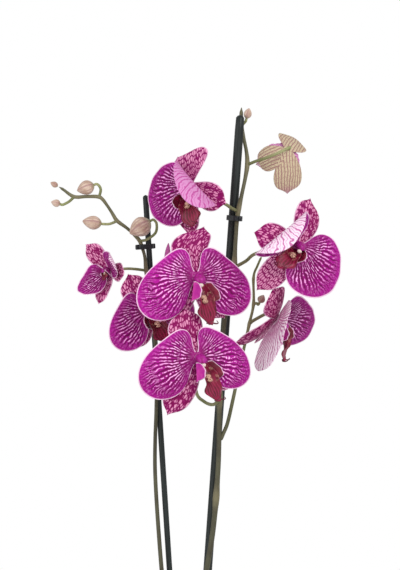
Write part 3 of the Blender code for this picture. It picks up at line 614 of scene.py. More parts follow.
def lip_blade(build, flower, size, drift):
    """The lip's blade: it runs down and forward, a trough at its foot. Its half width is the sum of
    two bell curves, cut in at its tip to a blunt arrow, and its edge ripples."""
    v = np.linspace(0, 1, 48)[:, None]
    w = np.linspace(-1, 1, 33)[None, :]
    down = (-5.5 - 33 * v) * MM * size
    ahead = (2.8 + 14 * np.sin(0.55 * math.pi * v) ** 1.2) * MM * size
    half = 4.5 + 3.4 * np.exp(-(((v - 0.35) / 0.25) ** 2)) + 6.0 * np.exp(-(((v - 0.72) / 0.18) ** 2))
    half = half * (1 - 0.7 * np.clip((v - 0.76) / 0.24, 0, 1) ** 1.6) * MM * size
    trough = (6.5 * np.exp(-(((v - 0.25) / 0.3) ** 2)) + 2.2) * MM * size
    edge = 3.4 * MM * size * np.abs(w) ** 3 * np.exp(-(((v - 0.76) / 0.15) ** 2))
    ripple = 0.5 * MM * size * np.abs(w) ** 2 * np.sin(16 * v + 5 * w)
    level = ahead + trough * w**2 - edge + ripple
    points = cupped(w * half + drift * v**2, down, level, flower)
    build.sheet(points, 0.8 * MM, rim=(1 - np.abs(w)) * half, part=LIP_BLADE, reach=v * size,
                across=w)


def lip_lobe(build, flower, size, side, lean):
    """A side lobe: an ear that stands up from the blade's foot and leans outward. Its reach depends
    on t, which runs from its lower end to its upper, and u runs from its foot to its free edge."""
    u = np.linspace(0, 1, 28)[:, None]
    t = np.linspace(-1, 1, 31)[None, :]
    if side < 0:
        reach = 13.8 * (1 - 0.72 * np.abs(t) ** 3.2)
    else:
        reach = LOBE_REACH - 10.5 * (0.5 * t + 0.5) ** 2.2 - 5.0 * np.clip(-t, 0, 1) ** 4
    out, forward = bent(u * reach, LOBE_REACH, 0.5 * math.pi - lean, -0.7 * lean - 0.15)
    x = side * (6.8 + out) * MM * size
    y = (-13.0 + 9.0 * t * (1 - 0.12 * u) + 1.5 * u) * MM * size
    level = (6.0 + forward - 1.2 * u * t**2 + 0.4 * np.sin(9 * t) * u) * MM * size
    points = cupped(x, y, level, flower)
    rim = np.minimum((1 - u) * reach, (1 - np.abs(t)) * 9) * MM * size
    if side < 0:
        points, rim = points[:, ::-1], rim[:, ::-1]
    build.sheet(points, 0.75 * MM, rim=rim, part=LIP_LOBE, reach=u * size, across=t)


def lip_callus(build, flower, size):
    """The callus: a short bar with two knobs, from a sine and a cosine, on the foot of the blade."""
    s = np.linspace(0, 1, 14)
    bulge = np.sin(math.pi * s) ** 0.5 * (1 - 0.35 * np.cos(4 * math.pi * s))
    rise = 9.5 + 5.0 * s + 2.6 * np.sin(math.pi * s)
    path = cupped(0 * s, (-14.5 - 6.5 * s) * MM * size, rise * MM * size, flower)
    angle = round_angles(16)
    ring_x = (bulge[:, None] * 3.1 * MM * size + 1e-5) * np.cos(angle)
    ring_y = (bulge[:, None] * 2.1 * MM * size + 1e-5) * np.sin(angle)
    build.sweep(path, *upright(path), ring_x, ring_y, part=LIP_CALLUS, rim=5 * MM, front=1.0)


def lip_tendril(build, flower, size, drift, side):
    """A tendril at the blade's tip: a tapering thread that winds outward along sines of its run."""
    k = np.linspace(0, 1, 26)
    spin = k * 4.4
    x = drift + side * (1.2 + 5.5 * np.sin(0.8 * spin) * k + 0.6 * spin) * MM * size
    y = (-37 - 2.5 * np.sin(spin * 0.75) * k**0.7 + 3 * k) * MM * size
    z = (16.5 + 3.2 * (1 - np.cos(spin * 0.9)) * k) * MM * size
    radii = np.linspace(0.95, 0.35, 26) * MM * size
    build.tube(cupped(x, y, z, flower), radii, 8, part=LIP_TENDRIL, rim=5 * MM, front=1.0)


def lip_sheets(build, flower):
    """The lip: its blade, two side lobes, a callus between them and two tendrils at its tip."""
    habit = HABITS[flower.name]
    size = flower.size * (1 - max(0, flower.cup[0]) / 50) * habit.lip_size
    drift = 0.3 * habit.lip_turn * MM * size
    lip_blade(build, flower, size, drift)
    for side, lean in zip((-1, 1), np.radians(habit.lobes)):
        lip_lobe(build, flower, size, side, lean)
    lip_callus(build, flower, size)
    for side in (-1, 1):
        lip_tendril(build, flower, size, drift, side)


# Which part of the column a point is on
COLUMN_HOOD, COLUMN_ANTHER = 0.0, 1.0


def column_sheets(build, flower):
    """The column: a short arched club with a rounded hood, flat underneath, and a pale anther. The
    club's radius swells with a sine and rounds off at its end, and the anther is an egg."""
    size = flower.size
    k = np.linspace(0, 1, 26)
    path = np.stack([0 * k, (0.2 - 1.4 * k - 4.0 * k**2.4) * MM * size, (1.8 + 13 * k) * MM * size],
                    axis=1)
    swell = 3.0 + 1.7 * np.sin(math.pi * np.clip(k * 0.93, 0, 1)) ** 1.3 + 0.4 * k
    round_off = np.sqrt(np.clip(1 - np.clip((k - 0.72) / 0.28, 0, 1) ** 2.4, 0.0004, 1))
    radius = (swell * round_off * MM * size)[:, None]
    angle = round_angles(24)[None, :]
    flat = np.where(np.sin(angle) < 0, 0.55, 0.95)
    build.sweep(path, *upright(path), radius * np.cos(angle), radius * np.sin(angle) * flat,
                part=COLUMN_HOOD, tip=k[:, None])
    k = np.linspace(0, 1, 14)
    path = np.stack([0 * k, (-6.2 - 1.8 * k) * MM * size, (11.2 + 3.2 * k) * MM * size], axis=1)
    radius = (np.sqrt(np.clip(1 - (2 * k - 1) ** 2, 0.0004, 1)) * 2.5 * MM * size)[:, None]
    angle = round_angles(16)[None, :]
    build.sweep(path, *upright(path), radius * np.cos(angle), 0.75 * radius * np.sin(angle),
                part=COLUMN_ANTHER, tip=1.0)


# Materials ---------------------------------------------------------------------------------------


VEINS = 4.5  # to a radian
VEIN_HALF, VEIN_QUARTER = 0.111, 0.0555  # of the way from one to the next, in radians
CELLS_ACROSS, CELLS_ALONG, RIBS = 640.0, 205.0, 330.0  # to a metre


def veins(recipe, ray, reach, count, start, half_width):
    """Dark lines along the rays, `count` to a radian, that begin at a distance from the claw."""
    t = ray * count
    edge = (t.math("FRACT") - 0.5).math("ABSOLUTE") * -1 + 0.5
    distance = edge * reach / count
    return distance.step(half_width, half_width * 0.25) * reach.step(start, start + 5 * MM)


def streaks(recipe, ray, reach, count, half_width):
    """Pale dashes with tapered ends, midway between the lines that `veins` draws with the same
    count. A noise along each strip widens and narrows them."""
    t = ray * count
    strip = t.math("FLOOR")
    dash = recipe.noise(recipe.vector(reach * 330.0, strip * 3.71), 1.0, 2.0, 0.7)
    taper = ((dash - 0.43) * 9.0).math("MAXIMUM", 0.05).math("MINIMUM", 1.15)
    distance = (t.math("FRACT") - 0.5).math("ABSOLUTE") * reach / count / taper
    return distance.step(half_width, half_width * 0.4) * dash.step(0.42, 0.46)


def petal_material(hues):
    """Veined magenta: dark lines fan out from the claw and fork, with broken pale streaks between
    them, a solid outer band and a thin pale margin. The back is pale, drawn paler as painted light
    or deeper as painted shade by each flower's pale value, and the veins shine through."""
    recipe = Recipe("petal", 0.6, Specular_IOR_Level=0.12)
    place = recipe.place()
    reach, rim = recipe.attribute("reach"), recipe.attribute("rim")
    wander = (recipe.noise(place, 42.0, 2.0) - 0.5) * 0.32
    wriggle = (recipe.noise(place, 190.0, 2.0) - 0.5) * 0.12
    ray = recipe.attribute("ray") + wander + wriggle + recipe.attribute("tone") * 2.0
    main = veins(recipe, ray, reach, VEINS, 1 * MM, 0.9 * MM)
    fork = veins(recipe, ray + VEIN_HALF, reach, VEINS, 11 * MM, 0.9 * MM)
    fine = veins(recipe, ray + VEIN_QUARTER, reach, 2 * VEINS, 34 * MM, 0.6 * MM)
    lines = main.math("MAXIMUM", fork).math("MAXIMUM", fine * 0.8)
    near = streaks(recipe, ray, reach, VEINS, 0.58 * MM) * reach.step(17 * MM, 12 * MM)
    middle = streaks(recipe, ray, reach, 2 * VEINS, 0.56 * MM)
    middle = middle * reach.step(12 * MM, 17 * MM) * reach.step(42 * MM, 34 * MM)
    far = streaks(recipe, ray, reach, 4 * VEINS, 0.42 * MM) * reach.step(34 * MM, 42 * MM) * 0.7
    streak = near.math("MAXIMUM", middle).math("MAXIMUM", far)
    inner = reach.step(2 * MM, 9 * MM) * rim.step(3 * MM, 12 * MM)
    patch = recipe.noise(place, 34.0, 1.0).step(0.30, 0.60) * 0.4 + 0.6
    streak = streak * (inner * 0.95 + 0.05) * patch
    grain = recipe.noise(place, 620.0, 2.0).step(0.52, 0.66) * rim.step(16 * MM, 5 * MM)
    tint = recipe.noise(place, 20.0, 1.0).step(0.3, 0.7)
    base = recipe.mix(tint, hues.petal, hues.petal_light)
    base = recipe.mix(reach.step(16 * MM, 2 * MM) * 0.6, base, hues.throat)
    face = recipe.mix(streak, base, hues.streak)
    face = recipe.mix(grain * 0.16, face, hues.streak)
    face = recipe.mix(lines * (rim.step(1 * MM, 10 * MM) * 0.65 + 0.25), face, hues.vein)
    margin = rim.step(1.3 * MM, 0.6 * MM)
    face = recipe.mix(margin * 0.85, face, hues.margin)
    # Painted light and shade: each flower's back is drawn between the deep and the pale back colour
    # by its pale value, and the random deeper tint is cut back where more light is painted.
    back = recipe.mix(recipe.attribute("pale"), hues.back_deep_and_painted_shade, hues.petal_back_painted_light)
    back = recipe.mix(tint * 0.3 * (1.0 - recipe.attribute("pale") * 0.8), back, hues.back_deep_and_painted_shade)
    through = veins(recipe, ray, reach, VEINS, 1 * MM, 1.0 * MM)
    forked = veins(recipe, ray + VEIN_HALF, reach, VEINS, 9 * MM, 0.95 * MM)
    through = through.math("MAXIMUM", forked).math("MAXIMUM", fine * 0.5)
    back = recipe.mix(through * 0.85, back, hues.back_vein)
    shade = recipe.mix(recipe.attribute("front").step(0.45, 0.55), back, face)
    bump = lines * -1.0 + recipe.noise(place, 900.0, 2.0) * 0.5
    return recipe.finish(shade, bump, strength=0.3, distance=0.25 * MM)


def sepal_material(hues):
    """A net of dark magenta round pale cells in rows along the sepal. The back is paler, and on a
    young flower cream with mauve lines along it."""
    recipe = Recipe("sepal", 0.6, Specular_IOR_Level=0.12)
    place = recipe.place()
    reach, rim, across = (recipe.attribute(key) for key in ("reach", "rim", "across"))
    wander = recipe.noise(place, 70.0, 2.0) - 0.5
    spread = 1.0 + reach.step(2 * MM, 26 * MM) * -0.25
    across_cells = across * CELLS_ACROSS * spread + wander * 1.1
    tone = recipe.attribute("tone")
    cell = recipe.cells(
        recipe.vector(across_cells + tone * 9.0, reach * CELLS_ALONG, tone * 5.0), 1.0, 0.7
    )
    light = cell.step(0.09, 0.20)
    patch = recipe.noise(place, 60.0, 1.0).step(0.3, 0.6) * 0.25 + 0.75
    light = light * patch * (reach.step(3 * MM, 12 * MM) * 0.6 + 0.4)
    tint = recipe.noise(place, 26.0, 1.0)
    base = recipe.mix(tint, hues.sepal, hues.petal)
    face = recipe.mix(light * 0.9, base, hues.cell)
    face = recipe.mix(cell.step(0.10, 0.03) * 0.6, face, hues.sepal_line)
    face = recipe.mix(rim.step(1.2 * MM, 0.5 * MM) * 0.6, face, hues.margin)
    young = recipe.attribute("young")
    back = recipe.mix(young, hues.sepal_back, hues.young_back)
    ribs = ((across * RIBS + wander * 1.2).math("FRACT") - 0.5).math("ABSOLUTE").step(0.24, 0.05)
    net = ribs.math("MAXIMUM", cell.step(0.12, 0.04) * 0.5)
    line = recipe.mix(young, hues.back_vein, hues.young_line)
    blush = recipe.noise(place, 38.0, 2.0).step(0.5, 0.75) * young * 0.35
    back = recipe.mix(blush, back, hues.back_vein)
    back = recipe.mix(net * 0.85, back, line)
    shade = recipe.mix(recipe.attribute("front").step(0.45, 0.55), back, face)
    bump = cell.step(0.0, 0.3) + recipe.noise(place, 900.0, 2.0) * 0.4
    return recipe.finish(shade, bump, strength=0.3, distance=0.25 * MM)


def lip_material(hues):
    """Wine red inside, pinker outside its ears, pale at their margin, buff and spotted on the
    callus and dark on the tendrils."""
    recipe = Recipe("lip", 0.42, Specular_IOR_Level=0.35)
    place = recipe.place()
    part, rim, front = (recipe.attribute(key) for key in ("part", "rim", "front"))
    mottle = recipe.noise(place, 160.0, 3.0)
    wine = recipe.mix(mottle.step(0.3, 0.7), hues.lip, hues.lip_light)
    band = recipe.attribute("across") * 3.2 + mottle * 0.35
    stripe = (band.math("FRACT") - 0.5).math("ABSOLUTE").step(0.24, 0.10)
    run = recipe.attribute("reach")
    wine = recipe.mix(stripe * part.step(0.6, 0.4) * (run.step(0.2, 0.75) * 0.4 + 0.15), wine,
                      hues.lip_stripe)
    fleck = recipe.noise(place, 340.0, 2.0).step(0.55, 0.68) * run.step(0.55, 0.2)
    wine = recipe.mix(fleck * 0.5, wine, hues.callus)
    outside = recipe.mix(mottle.step(0.3, 0.8), hues.ear_outside, hues.petal_light)
    ear = part.step(0.4, 0.6) * part.step(1.6, 1.4)
    face = recipe.mix(ear * front.step(0.55, 0.45), wine, outside)
    face = recipe.mix(ear * rim.step(0.9 * MM, 0.3 * MM) * 0.75, face, hues.margin)
    callus = part.step(1.4, 1.6) * part.step(2.6, 2.4)
    spots = recipe.cells(place, 900.0, 1.0, "F1").step(0.42, 0.3)
    buff = recipe.mix(spots, hues.callus, hues.lip)
    face = recipe.mix(callus, face, buff)
    face = recipe.mix(part.step(2.4, 2.6), face, hues.tendril)
    return recipe.finish(face, mottle, strength=0.3, distance=0.2 * MM)


def column_material(hues):
    """Magenta, deeper along the top, with a pale anther cap."""
    recipe = Recipe("column", 0.42, Specular_IOR_Level=0.35)
    place = recipe.place()
    tip, part = recipe.attribute("tip"), recipe.attribute("part")
    speckle = recipe.noise(place, 500.0, 2.0)
    face = recipe.mix(speckle.step(0.35, 0.7), hues.column, hues.petal_light)
    face = recipe.mix(tip.step(0.35, 0.0) * 0.6, face, hues.margin)
    face = recipe.mix(part.step(0.4, 0.6), face, hues.anther)
    return recipe.finish(face, speckle, strength=0.15, distance=0.15 * MM)


def stem_material(hues):
    """Green stalks that go olive brown down the thick stems, with fine streaks and specks."""
    recipe = Recipe("stem", 0.5, Specular_IOR_Level=0.3)
    place = recipe.place()
    streak = recipe.noise(recipe.stretched(place, (900, 900, 60)), 1.0, 3.0)
    patch = recipe.noise(place, 45.0, 3.0).step(0.35, 0.65)
    brown = recipe.mix(patch, hues.stem_brown, hues.stem_olive)
    green = recipe.mix(patch, hues.stalk, hues.stalk_light)
    face = recipe.mix(recipe.attribute("green"), brown, green)
    face = recipe.mix(streak.step(0.55, 0.75) * 0.4, face, hues.stem_dark)
    face = recipe.mix(recipe.attribute("node") * 0.3, face, hues.bract)
    specks = recipe.cells(place, 700.0, 1.0, "F1").step(0.22, 0.12) * 0.35
    face = recipe.mix(specks, face, hues.stem_dark)
    relief = streak + recipe.noise(place, 300.0)
    return recipe.finish(face, relief, strength=0.35, distance=0.2 * MM)


def bud_material(hues):
    """Cream with mauve stripes along it and a greenish foot."""
    recipe = Recipe("bud", 0.5, Sheen_Weight=0.2)
    place = recipe.place()
    tip, ray = recipe.attribute("tip"), recipe.attribute("ray")
    mottle = recipe.noise(place, 120.0, 3.0)
    stripe = ((ray * 2.55 + mottle * 0.5).math("FRACT") - 0.5).math("ABSOLUTE").step(0.3, 0.08)
    stripe = stripe * recipe.noise(place, 240.0, 2.0).step(0.3, 0.6)
    face = recipe.mix(mottle.step(0.35, 0.7), hues.bud, hues.bud_light)
    face = recipe.mix(stripe * 0.6, face, hues.bud_stripe)
    face = recipe.mix(tip.step(0.22, 0.0) * 0.7, face, hues.stalk)
    face = recipe.mix(recipe.attribute("seam") * 0.6, face, hues.bud_stripe)
    face = recipe.mix(recipe.attribute("pink"), face, hues.petal_light)
    return recipe.finish(face, mottle + stripe * 0.4, strength=0.3, distance=0.25 * MM)


def leaf_material(hues):
    """Deep green with a pale midrib groove, faint veins along the leaf and a lighter underside."""
    recipe = Recipe("leaf", 0.34, Coat_Weight=0.25, Coat_Roughness=0.25)
    place = recipe.place()
    across, front = recipe.attribute("across"), recipe.attribute("front")
    mottle = recipe.noise(place, 38.0, 4.0)
    lines = recipe.noise(recipe.vector(across * 60.0, recipe.attribute("reach") * 14.0), 1.0, 2.0)
    face = recipe.mix(mottle.step(0.3, 0.7), hues.leaf, hues.leaf_light)
    face = recipe.mix(lines.step(0.5, 0.75) * 0.35, face, hues.leaf_dark)
    face = recipe.mix(across.math("ABSOLUTE").step(0.06, 0.0) * 0.5, face, hues.leaf_rib)
    under = recipe.mix(mottle, hues.leaf_under, hues.leaf_light)
    shade = recipe.mix(front.step(0.45, 0.55), under, face)
    return recipe.finish(shade, lines + mottle * 0.6, strength=0.25, distance=0.3 * MM)


def root_material(hues):
    """Silver grey over green, with a green growing tip."""
    recipe = Recipe("root", 0.72)
    place = recipe.place()
    mottle = recipe.noise(place, 150.0, 4.0)
    face = recipe.mix(mottle.step(0.35, 0.65), hues.root, hues.root_green)
    face = recipe.mix(recipe.attribute("tip").step(0.86, 0.97), face, hues.stalk)
    return recipe.finish(face, mottle, strength=0.5, distance=0.4 * MM)


def bark_material(hues):
    """Rough red-brown bark: each chip has its own tone, with layers and pale broken edges, and
    painted shade darkens the hollows of its bump.
    """
    recipe = Recipe("bark", 0.88)
    place = recipe.place()
    grain = recipe.noise(place, 260.0, 6.0, 0.65)
    tone = recipe.attribute("tone")
    face = recipe.mix(tone, hues.bark_dark, hues.bark)
    face = recipe.mix(grain.step(0.52, 0.75) * 0.7, face, hues.bark_light)
    # Painted shade: the bark is drawn darker where its bump is low, in its hollows.
    face = recipe.mix(grain.step(0.42, 0.28) * 0.8, face, hues.bark_dark)
    return recipe.finish(face, grain, strength=0.8, distance=0.8 * MM)


def glaze_material(hues):
    """White glaze with the faintest unevenness and a bare, matt foot."""
    recipe = Recipe("pot_glaze", 0.2, Coat_Weight=0.5, Coat_Roughness=0.08)
    place = recipe.place()
    height = recipe.node("ShaderNodeSeparateXYZ", {}, place, out="Z")
    cloud = recipe.noise(place, 14.0, 3.0)
    ripple = recipe.noise(recipe.stretched(place, (6, 6, 90)), 1.0)
    face = recipe.mix(cloud.step(0.3, 0.7) * 0.5, hues.glaze, hues.glaze_cool)
    bare = height.step(1.6 * MM, 0.8 * MM)
    face = recipe.mix(bare, face, hues.bare_clay)
    rough = bare * 0.6 + 0.2 + cloud * 0.06
    return recipe.finish(face, ripple + cloud, rough, strength=0.08, distance=0.5 * MM)


def plastic_material(name, roughness, dark, light, bands):
    """A moulded or drawn plastic with faint length-wise bands and scuffs."""
    recipe = Recipe(name, roughness, Specular_IOR_Level=0.3)
    place = recipe.place()
    scuff = recipe.noise(place, 90.0, 4.0)
    band = recipe.noise(recipe.stretched(place, bands), 1.0, 2.0)
    face = recipe.mix(band.step(0.35, 0.7) * 0.7, dark, light)
    face = recipe.mix(scuff.step(0.58, 0.72) * 0.35, face, light)
    rough = scuff * 0.25 + (roughness - 0.1)
    return recipe.finish(face, band + scuff * 0.5, rough, strength=0.3, distance=0.15 * MM)


# The add-on's settings ---------------------------------------------------------------------------


class ORCHID_PG_hues(bpy.types.PropertyGroup):
    petal: colour("Petal", (0.28, 0.004, 0.17), "Solid magenta of the petals")
    petal_light: colour("Petal light", (0.41, 0.008, 0.28), "Lighter magenta of the petals")
    streak: colour("Streak", (1.0, 0.46, 0.86), "Broken pale streaks between the veins")
    vein: colour("Vein", (0.115, 0.001, 0.055), "Dark veins of the petals")
    throat: colour("Throat", (0.27, 0.006, 0.13), "Tone round the claw")
    margin: colour("Margin", (0.95, 0.66, 0.84), "Thin pale margin of petals and sepals")
    # Painted light and shade on the petals' backs: a flower's back is drawn between these two by how
    # much light is painted on it, and the deeper one also gives the backs their random deeper tint.
    petal_back_painted_light: colour("Petal back", (0.97, 0.83, 0.92), "Back of a petal at its palest")
    back_deep_and_painted_shade: colour("Back deep", (0.66, 0.27, 0.54), "Back of a petal at its deepest")
    back_vein: colour("Back vein", (0.46, 0.05, 0.28), "Veins that shine through the back")
    sepal: colour("Sepal", (0.26, 0.003, 0.085), "Ground of the sepals' net")
    sepal_line: colour("Sepal line", (0.17, 0.001, 0.05), "Lines of the sepals' net")
    cell: colour("Cell", (0.82, 0.33, 0.53), "Pale cells of the net")
    sepal_back: colour("Sepal back", (0.76, 0.46, 0.55), "Back of an open sepal")
    young_back: colour("Young back", (0.60, 0.50, 0.33), "Back of a young sepal")
    young_line: colour("Young line", (0.26, 0.09, 0.12), "Lines on a young sepal's back")
    lip: colour("Lip", (0.10, 0.002, 0.014), "Wine red of the lip")
    lip_light: colour("Lip light", (0.23, 0.004, 0.035), "Lighter red of the lip")
    lip_stripe: colour("Lip stripe", (0.44, 0.02, 0.11), "Stripes along the lip")
    ear_outside: colour("Lobe outside", (0.62, 0.05, 0.36), "Outside of the lip's side lobes")
    callus: colour("Callus", (0.62, 0.36, 0.26), "Buff callus")
    tendril: colour("Tendril", (0.13, 0.008, 0.03), "Tendrils at the lip's tip")
    column: colour("Column", (0.28, 0.003, 0.15), "The column")
    anther: colour("Anther", (0.80, 0.66, 0.60), "Pale anther cap")
    stem_brown: colour("Stem brown", (0.046, 0.038, 0.027), "Lower stems")
    stem_olive: colour("Stem olive", (0.070, 0.066, 0.040), "Olive patches of the stems")
    stem_dark: colour("Stem dark", (0.030, 0.024, 0.017), "Streaks on the stems")
    stalk: colour("Stalk", (0.25, 0.28, 0.10), "Flower stalks")
    stalk_light: colour("Stalk light", (0.38, 0.38, 0.18), "Light patches of the stalks")
    bract: colour("Bract", (0.42, 0.36, 0.20), "Dry bracts at the joints")
    bud: colour("Bud", (0.42, 0.27, 0.19), "Buds")
    bud_light: colour("Bud light", (0.72, 0.57, 0.45), "Light patches of the buds")
    bud_stripe: colour("Bud stripe", (0.27, 0.10, 0.12), "Mauve stripes of the buds")
    leaf: colour("Leaf", (0.035, 0.10, 0.022), "Leaves")
    leaf_light: colour("Leaf light", (0.065, 0.16, 0.035), "Light patches of the leaves")
    leaf_dark: colour("Leaf dark", (0.02, 0.06, 0.014), "Lines along the leaves")
    leaf_rib: colour("Leaf rib", (0.11, 0.20, 0.06), "Midrib groove")
    leaf_under: colour("Leaf underside", (0.10, 0.18, 0.07), "Undersides of the leaves")
    root: colour("Root", (0.52, 0.54, 0.47), "Silvery roots")
    root_green: colour("Root green", (0.30, 0.37, 0.22), "Green patches of the roots")
    bark: colour("Bark", (0.20, 0.095, 0.05), "Bark chips")
    bark_light: colour("Bark light", (0.36, 0.22, 0.13), "Broken edges of the bark")
    # This colour darkens the bark's hollows as painted shade, and it also gives chips their own
    # deeper tones and the liner its bands and scuffs.
    bark_dark: colour("Bark dark", (0.055, 0.028, 0.016), "Hollows of the bark")
    glaze: colour("Glaze", (0.80, 0.79, 0.76), "The pot's glaze")
    glaze_cool: colour("Glaze cool", (0.76, 0.77, 0.76), "Cool clouds in the glaze")
    bare_clay: colour("Bare clay", (0.62, 0.56, 0.48), "The pot's unglazed foot")
    liner: colour("Liner", (0.05, 0.045, 0.04), "The nursery pot")
    stake: colour("Stake", (0.009, 0.013, 0.012), "The stakes")
    stake_light: colour("Stake light", (0.024, 0.032, 0.031), "Worn bands of the stakes")
    clip: colour("Clip", (0.010, 0.012, 0.014), "The clips")
    clip_light: colour("Clip light", (0.035, 0.038, 0.042), "Worn edges of the clips")
    floor: colour("Floor", (0.86, 0.86, 0.86), "The floor")


class ORCHID_PG_sizes(bpy.types.PropertyGroup):
    pot_wall: length("Pot wall", 4 * MM, "Thickness of the pot's wall")
    liner_wall: length("Liner wall", 1.2 * MM, "Thickness of the nursery pot's wall")
    clip_height: length("Clip height", 4.6 * MM, "Height of a clip along its stake")
    leaf_thickness: length("Leaf thickness", 1.8 * MM, "Thickness of a leaf at its midrib")
    camera_distance: length("Camera distance", 1.9, "From the camera to the pot's axis")
    room_light: bpy.props.FloatProperty(
        name="Room light", description="Strength of the light from all round", default=0.7, min=0,
    )
    frame_height: length("Frame height", 0.513, "Height in view at the pot's axis")


def hues():
    """The colours as the user has set them."""
    return bpy.context.scene.orchid_hues


def sizes():
    """The sizes and the light as the user has set them."""
    return bpy.context.scene.orchid_sizes


# Operators ---------------------------------------------------------------------------------------


class ORCHID_OT_flowers(bpy.types.Operator):
    """Build every open flower: sepals, petals, lip and column"""

    bl_idname = "orchid.flowers"
    bl_label = "Flowers"

    def execute(self, context):
        shades = hues()
        petal, sepal = petal_material(shades), sepal_material(shades)
        lip, column = lip_material(shades), column_material(shades)
        for number, flower in enumerate(FLOWERS):
            matrix = flower_matrix(flower)
            habit = HABITS[flower.name]
            lip_matrix = matrix @ turn_matrix(1, habit.lip_turn) @ turn_matrix(0, -habit.lip_lift)
            build = Build()
            for sepal_number in range(3):
                sepal_sheet(build, flower, sepal_number)
            build.place(matrix)
            build.piece(f"{flower.name}_sepal_blades", sepal, (f"{flower.name}_sepals",))
            build = Build()
            for side in (-1, 1):
                petal_sheet(build, flower, side, 1.37 * number + 0.61 * side + 2)
            build.place(matrix)
            build.piece(f"{flower.name}_petal_blades", petal, (f"{flower.name}_petals",))
            build = Build()
            lip_sheets(build, flower)
            build.place(lip_matrix)
            build.piece(f"{flower.name}_lip_lobes", lip, (f"{flower.name}_lip",))
            build = Build()
            column_sheets(build, flower)
            build.place(matrix @ turn_matrix(1, 0.25 * habit.lip_turn))
            build.piece(f"{flower.name}_column_hood", column, (f"{flower.name}_column",))
        return {"FINISHED"}


STALK_RADIUS, BUD_STALK_SIZE = 1.5, 0.6  # mm, and a bud's stalk as a flower's share of full size


def stem(build, points, thick, thin, green, joints=()):
    """One stem: its radius falls evenly, with a swelling at each joint, given as a share of its
    length. `green` is how green it is at its foot and at its tip."""
    path = smooth_route(points, max(24, 6 * len(points))) * MM
    share = np.linspace(0, 1, len(path))
    radii = (thick + (thin - thick) * share) * MM
    swelling = sum((np.exp(-(((share - j) * 60) ** 2)) for j in joints), 0 * share)
    radii = radii * (1 + 0.35 * swelling)
    build.tube(path, radii, 14, green=(green[0] + (green[1] - green[0]) * share)[:, None],
               node=np.clip(swelling, 0, 1)[:, None])


def stalk_end(target):
    """Where a stalk meets its flower or bud, and a point that leads into it, in millimetres."""
    for flower in FLOWERS:
        if flower.name == target:
            matrix = flower_matrix(flower)
            facing, centre = matrix[:3, 2], matrix[:3, 3] / MM
            return [centre - facing * 9 * flower.size, centre - facing * 1.6]
    foot, tip, _ = BUDS[target]
    way = unit(np.array(tip) - np.array(foot))
    end = np.array(foot) + way * 0.9
    return [end - 3 * way, end]


def nearest_share(points, place):
    """How far along the route through the points the given place lies, as a share of its length."""
    path = smooth_route(points, 200)
    return np.argmin(np.linalg.norm(path - np.array(place), axis=1)) / 199


class ORCHID_OT_spikes(bpy.types.Operator):
    """Build both flower spikes with their side branch and stalks"""

    bl_idname = "orchid.spikes"
    bl_label = "Spikes"

    def execute(self, context):
        finish = stem_material(hues())
        plans = (
            ("left_spike", LEFT_SPIKE_ROUTE, LEFT_STEM_RADIUS, LEFT_STALKS, ()),
            ("right_spike", RIGHT_SPIKE_ROUTE, RIGHT_STEM_RADIUS, RIGHT_STALKS, (0.16, 0.33)),
        )
        for name, route, radius, stalks, bare_joints in plans:
            build = Build()
            joints = [nearest_share(route, points[0]) for points in stalks.values()]
            stem(build, route, radius, radius * 0.55, (0.0, 0.15), [*joints, *bare_joints])
            if name == "right_spike":
                ends = [nearest_share(BRANCH_ROUTE, p[0]) for p in BRANCH_STALKS.values()]
                stem(build, BRANCH_ROUTE, 1.8, 1.0, (0.1, 0.8), [*ends, 0.86])
                stalks = {**stalks, **BRANCH_STALKS}
            for target, points in stalks.items():
                size = next((f.size for f in FLOWERS if f.name == target), BUD_STALK_SIZE)
                thick = STALK_RADIUS * (0.55 + 0.45 * size)
                stem(build, [*points, *stalk_end(target)], thick * 1.05, thick * 0.95, (0.4, 1.0))
            build.piece(f"{name}_stems", finish, (name,))
        return {"FINISHED"}


def bud_sheets(build, foot, tip, radius, pink=0.0):
    """A bud: an egg whose radius is a power of a sine that peaks nearer its foot, with three shallow
    seams, each a bell curve round the bud, where its sepals meet."""
    rings = 40
    foot, tip = np.array(foot) * MM, np.array(tip) * MM
    k = np.linspace(0, 1, rings)
    way = unit(tip - foot)
    across = unit(np.cross(way, [0.1, 0.2, 1.0]))
    angle = round_angles(48)[None, :]
    width = np.sin(math.pi * np.clip(k, 0.0005, 0.9995) ** 0.82) ** 0.75 * radius * MM
    seam = np.exp(-((((angle * 3 / (2 * math.pi)) % 1 - 0.5) / 0.07) ** 2))
    ring = width[:, None] * (1 - 0.055 * seam + 0.02 * np.cos(9 * angle))
    build.sweep(foot + (tip - foot) * k[:, None], np.tile(across, (rings, 1)),
                np.tile(np.cross(way, across), (rings, 1)), ring * np.cos(angle),
                ring * np.sin(angle), tip=k[:, None], ray=angle, seam=seam, pink=pink)


class ORCHID_OT_buds(bpy.types.Operator):
    """Build the closed buds"""

    bl_idname = "orchid.buds"
    bl_label = "Buds"

    def execute(self, context):
        finish = bud_material(hues())
        for name, (foot, tip, radius) in BUDS.items():
            build = Build()
            if name == "hidden_bud":
                bud_sheets(build, foot, tip, radius * 0.6, pink=0.85)
            else:
                bud_sheets(build, foot, tip, radius)
            build.piece(f"{name}_egg", finish, (name,))
        return {"FINISHED"}


STAKE_FOOT = 30  # the height in the bark where a stake ends, in millimetres


def stake_point(name, height):
    """The point of a stake's middle line at a height, in millimetres."""
    foot, top, _ = STAKES[name]
    share = (height - foot[2]) / (top[2] - foot[2])
    return np.array(foot) + (np.array(top) - np.array(foot)) * share


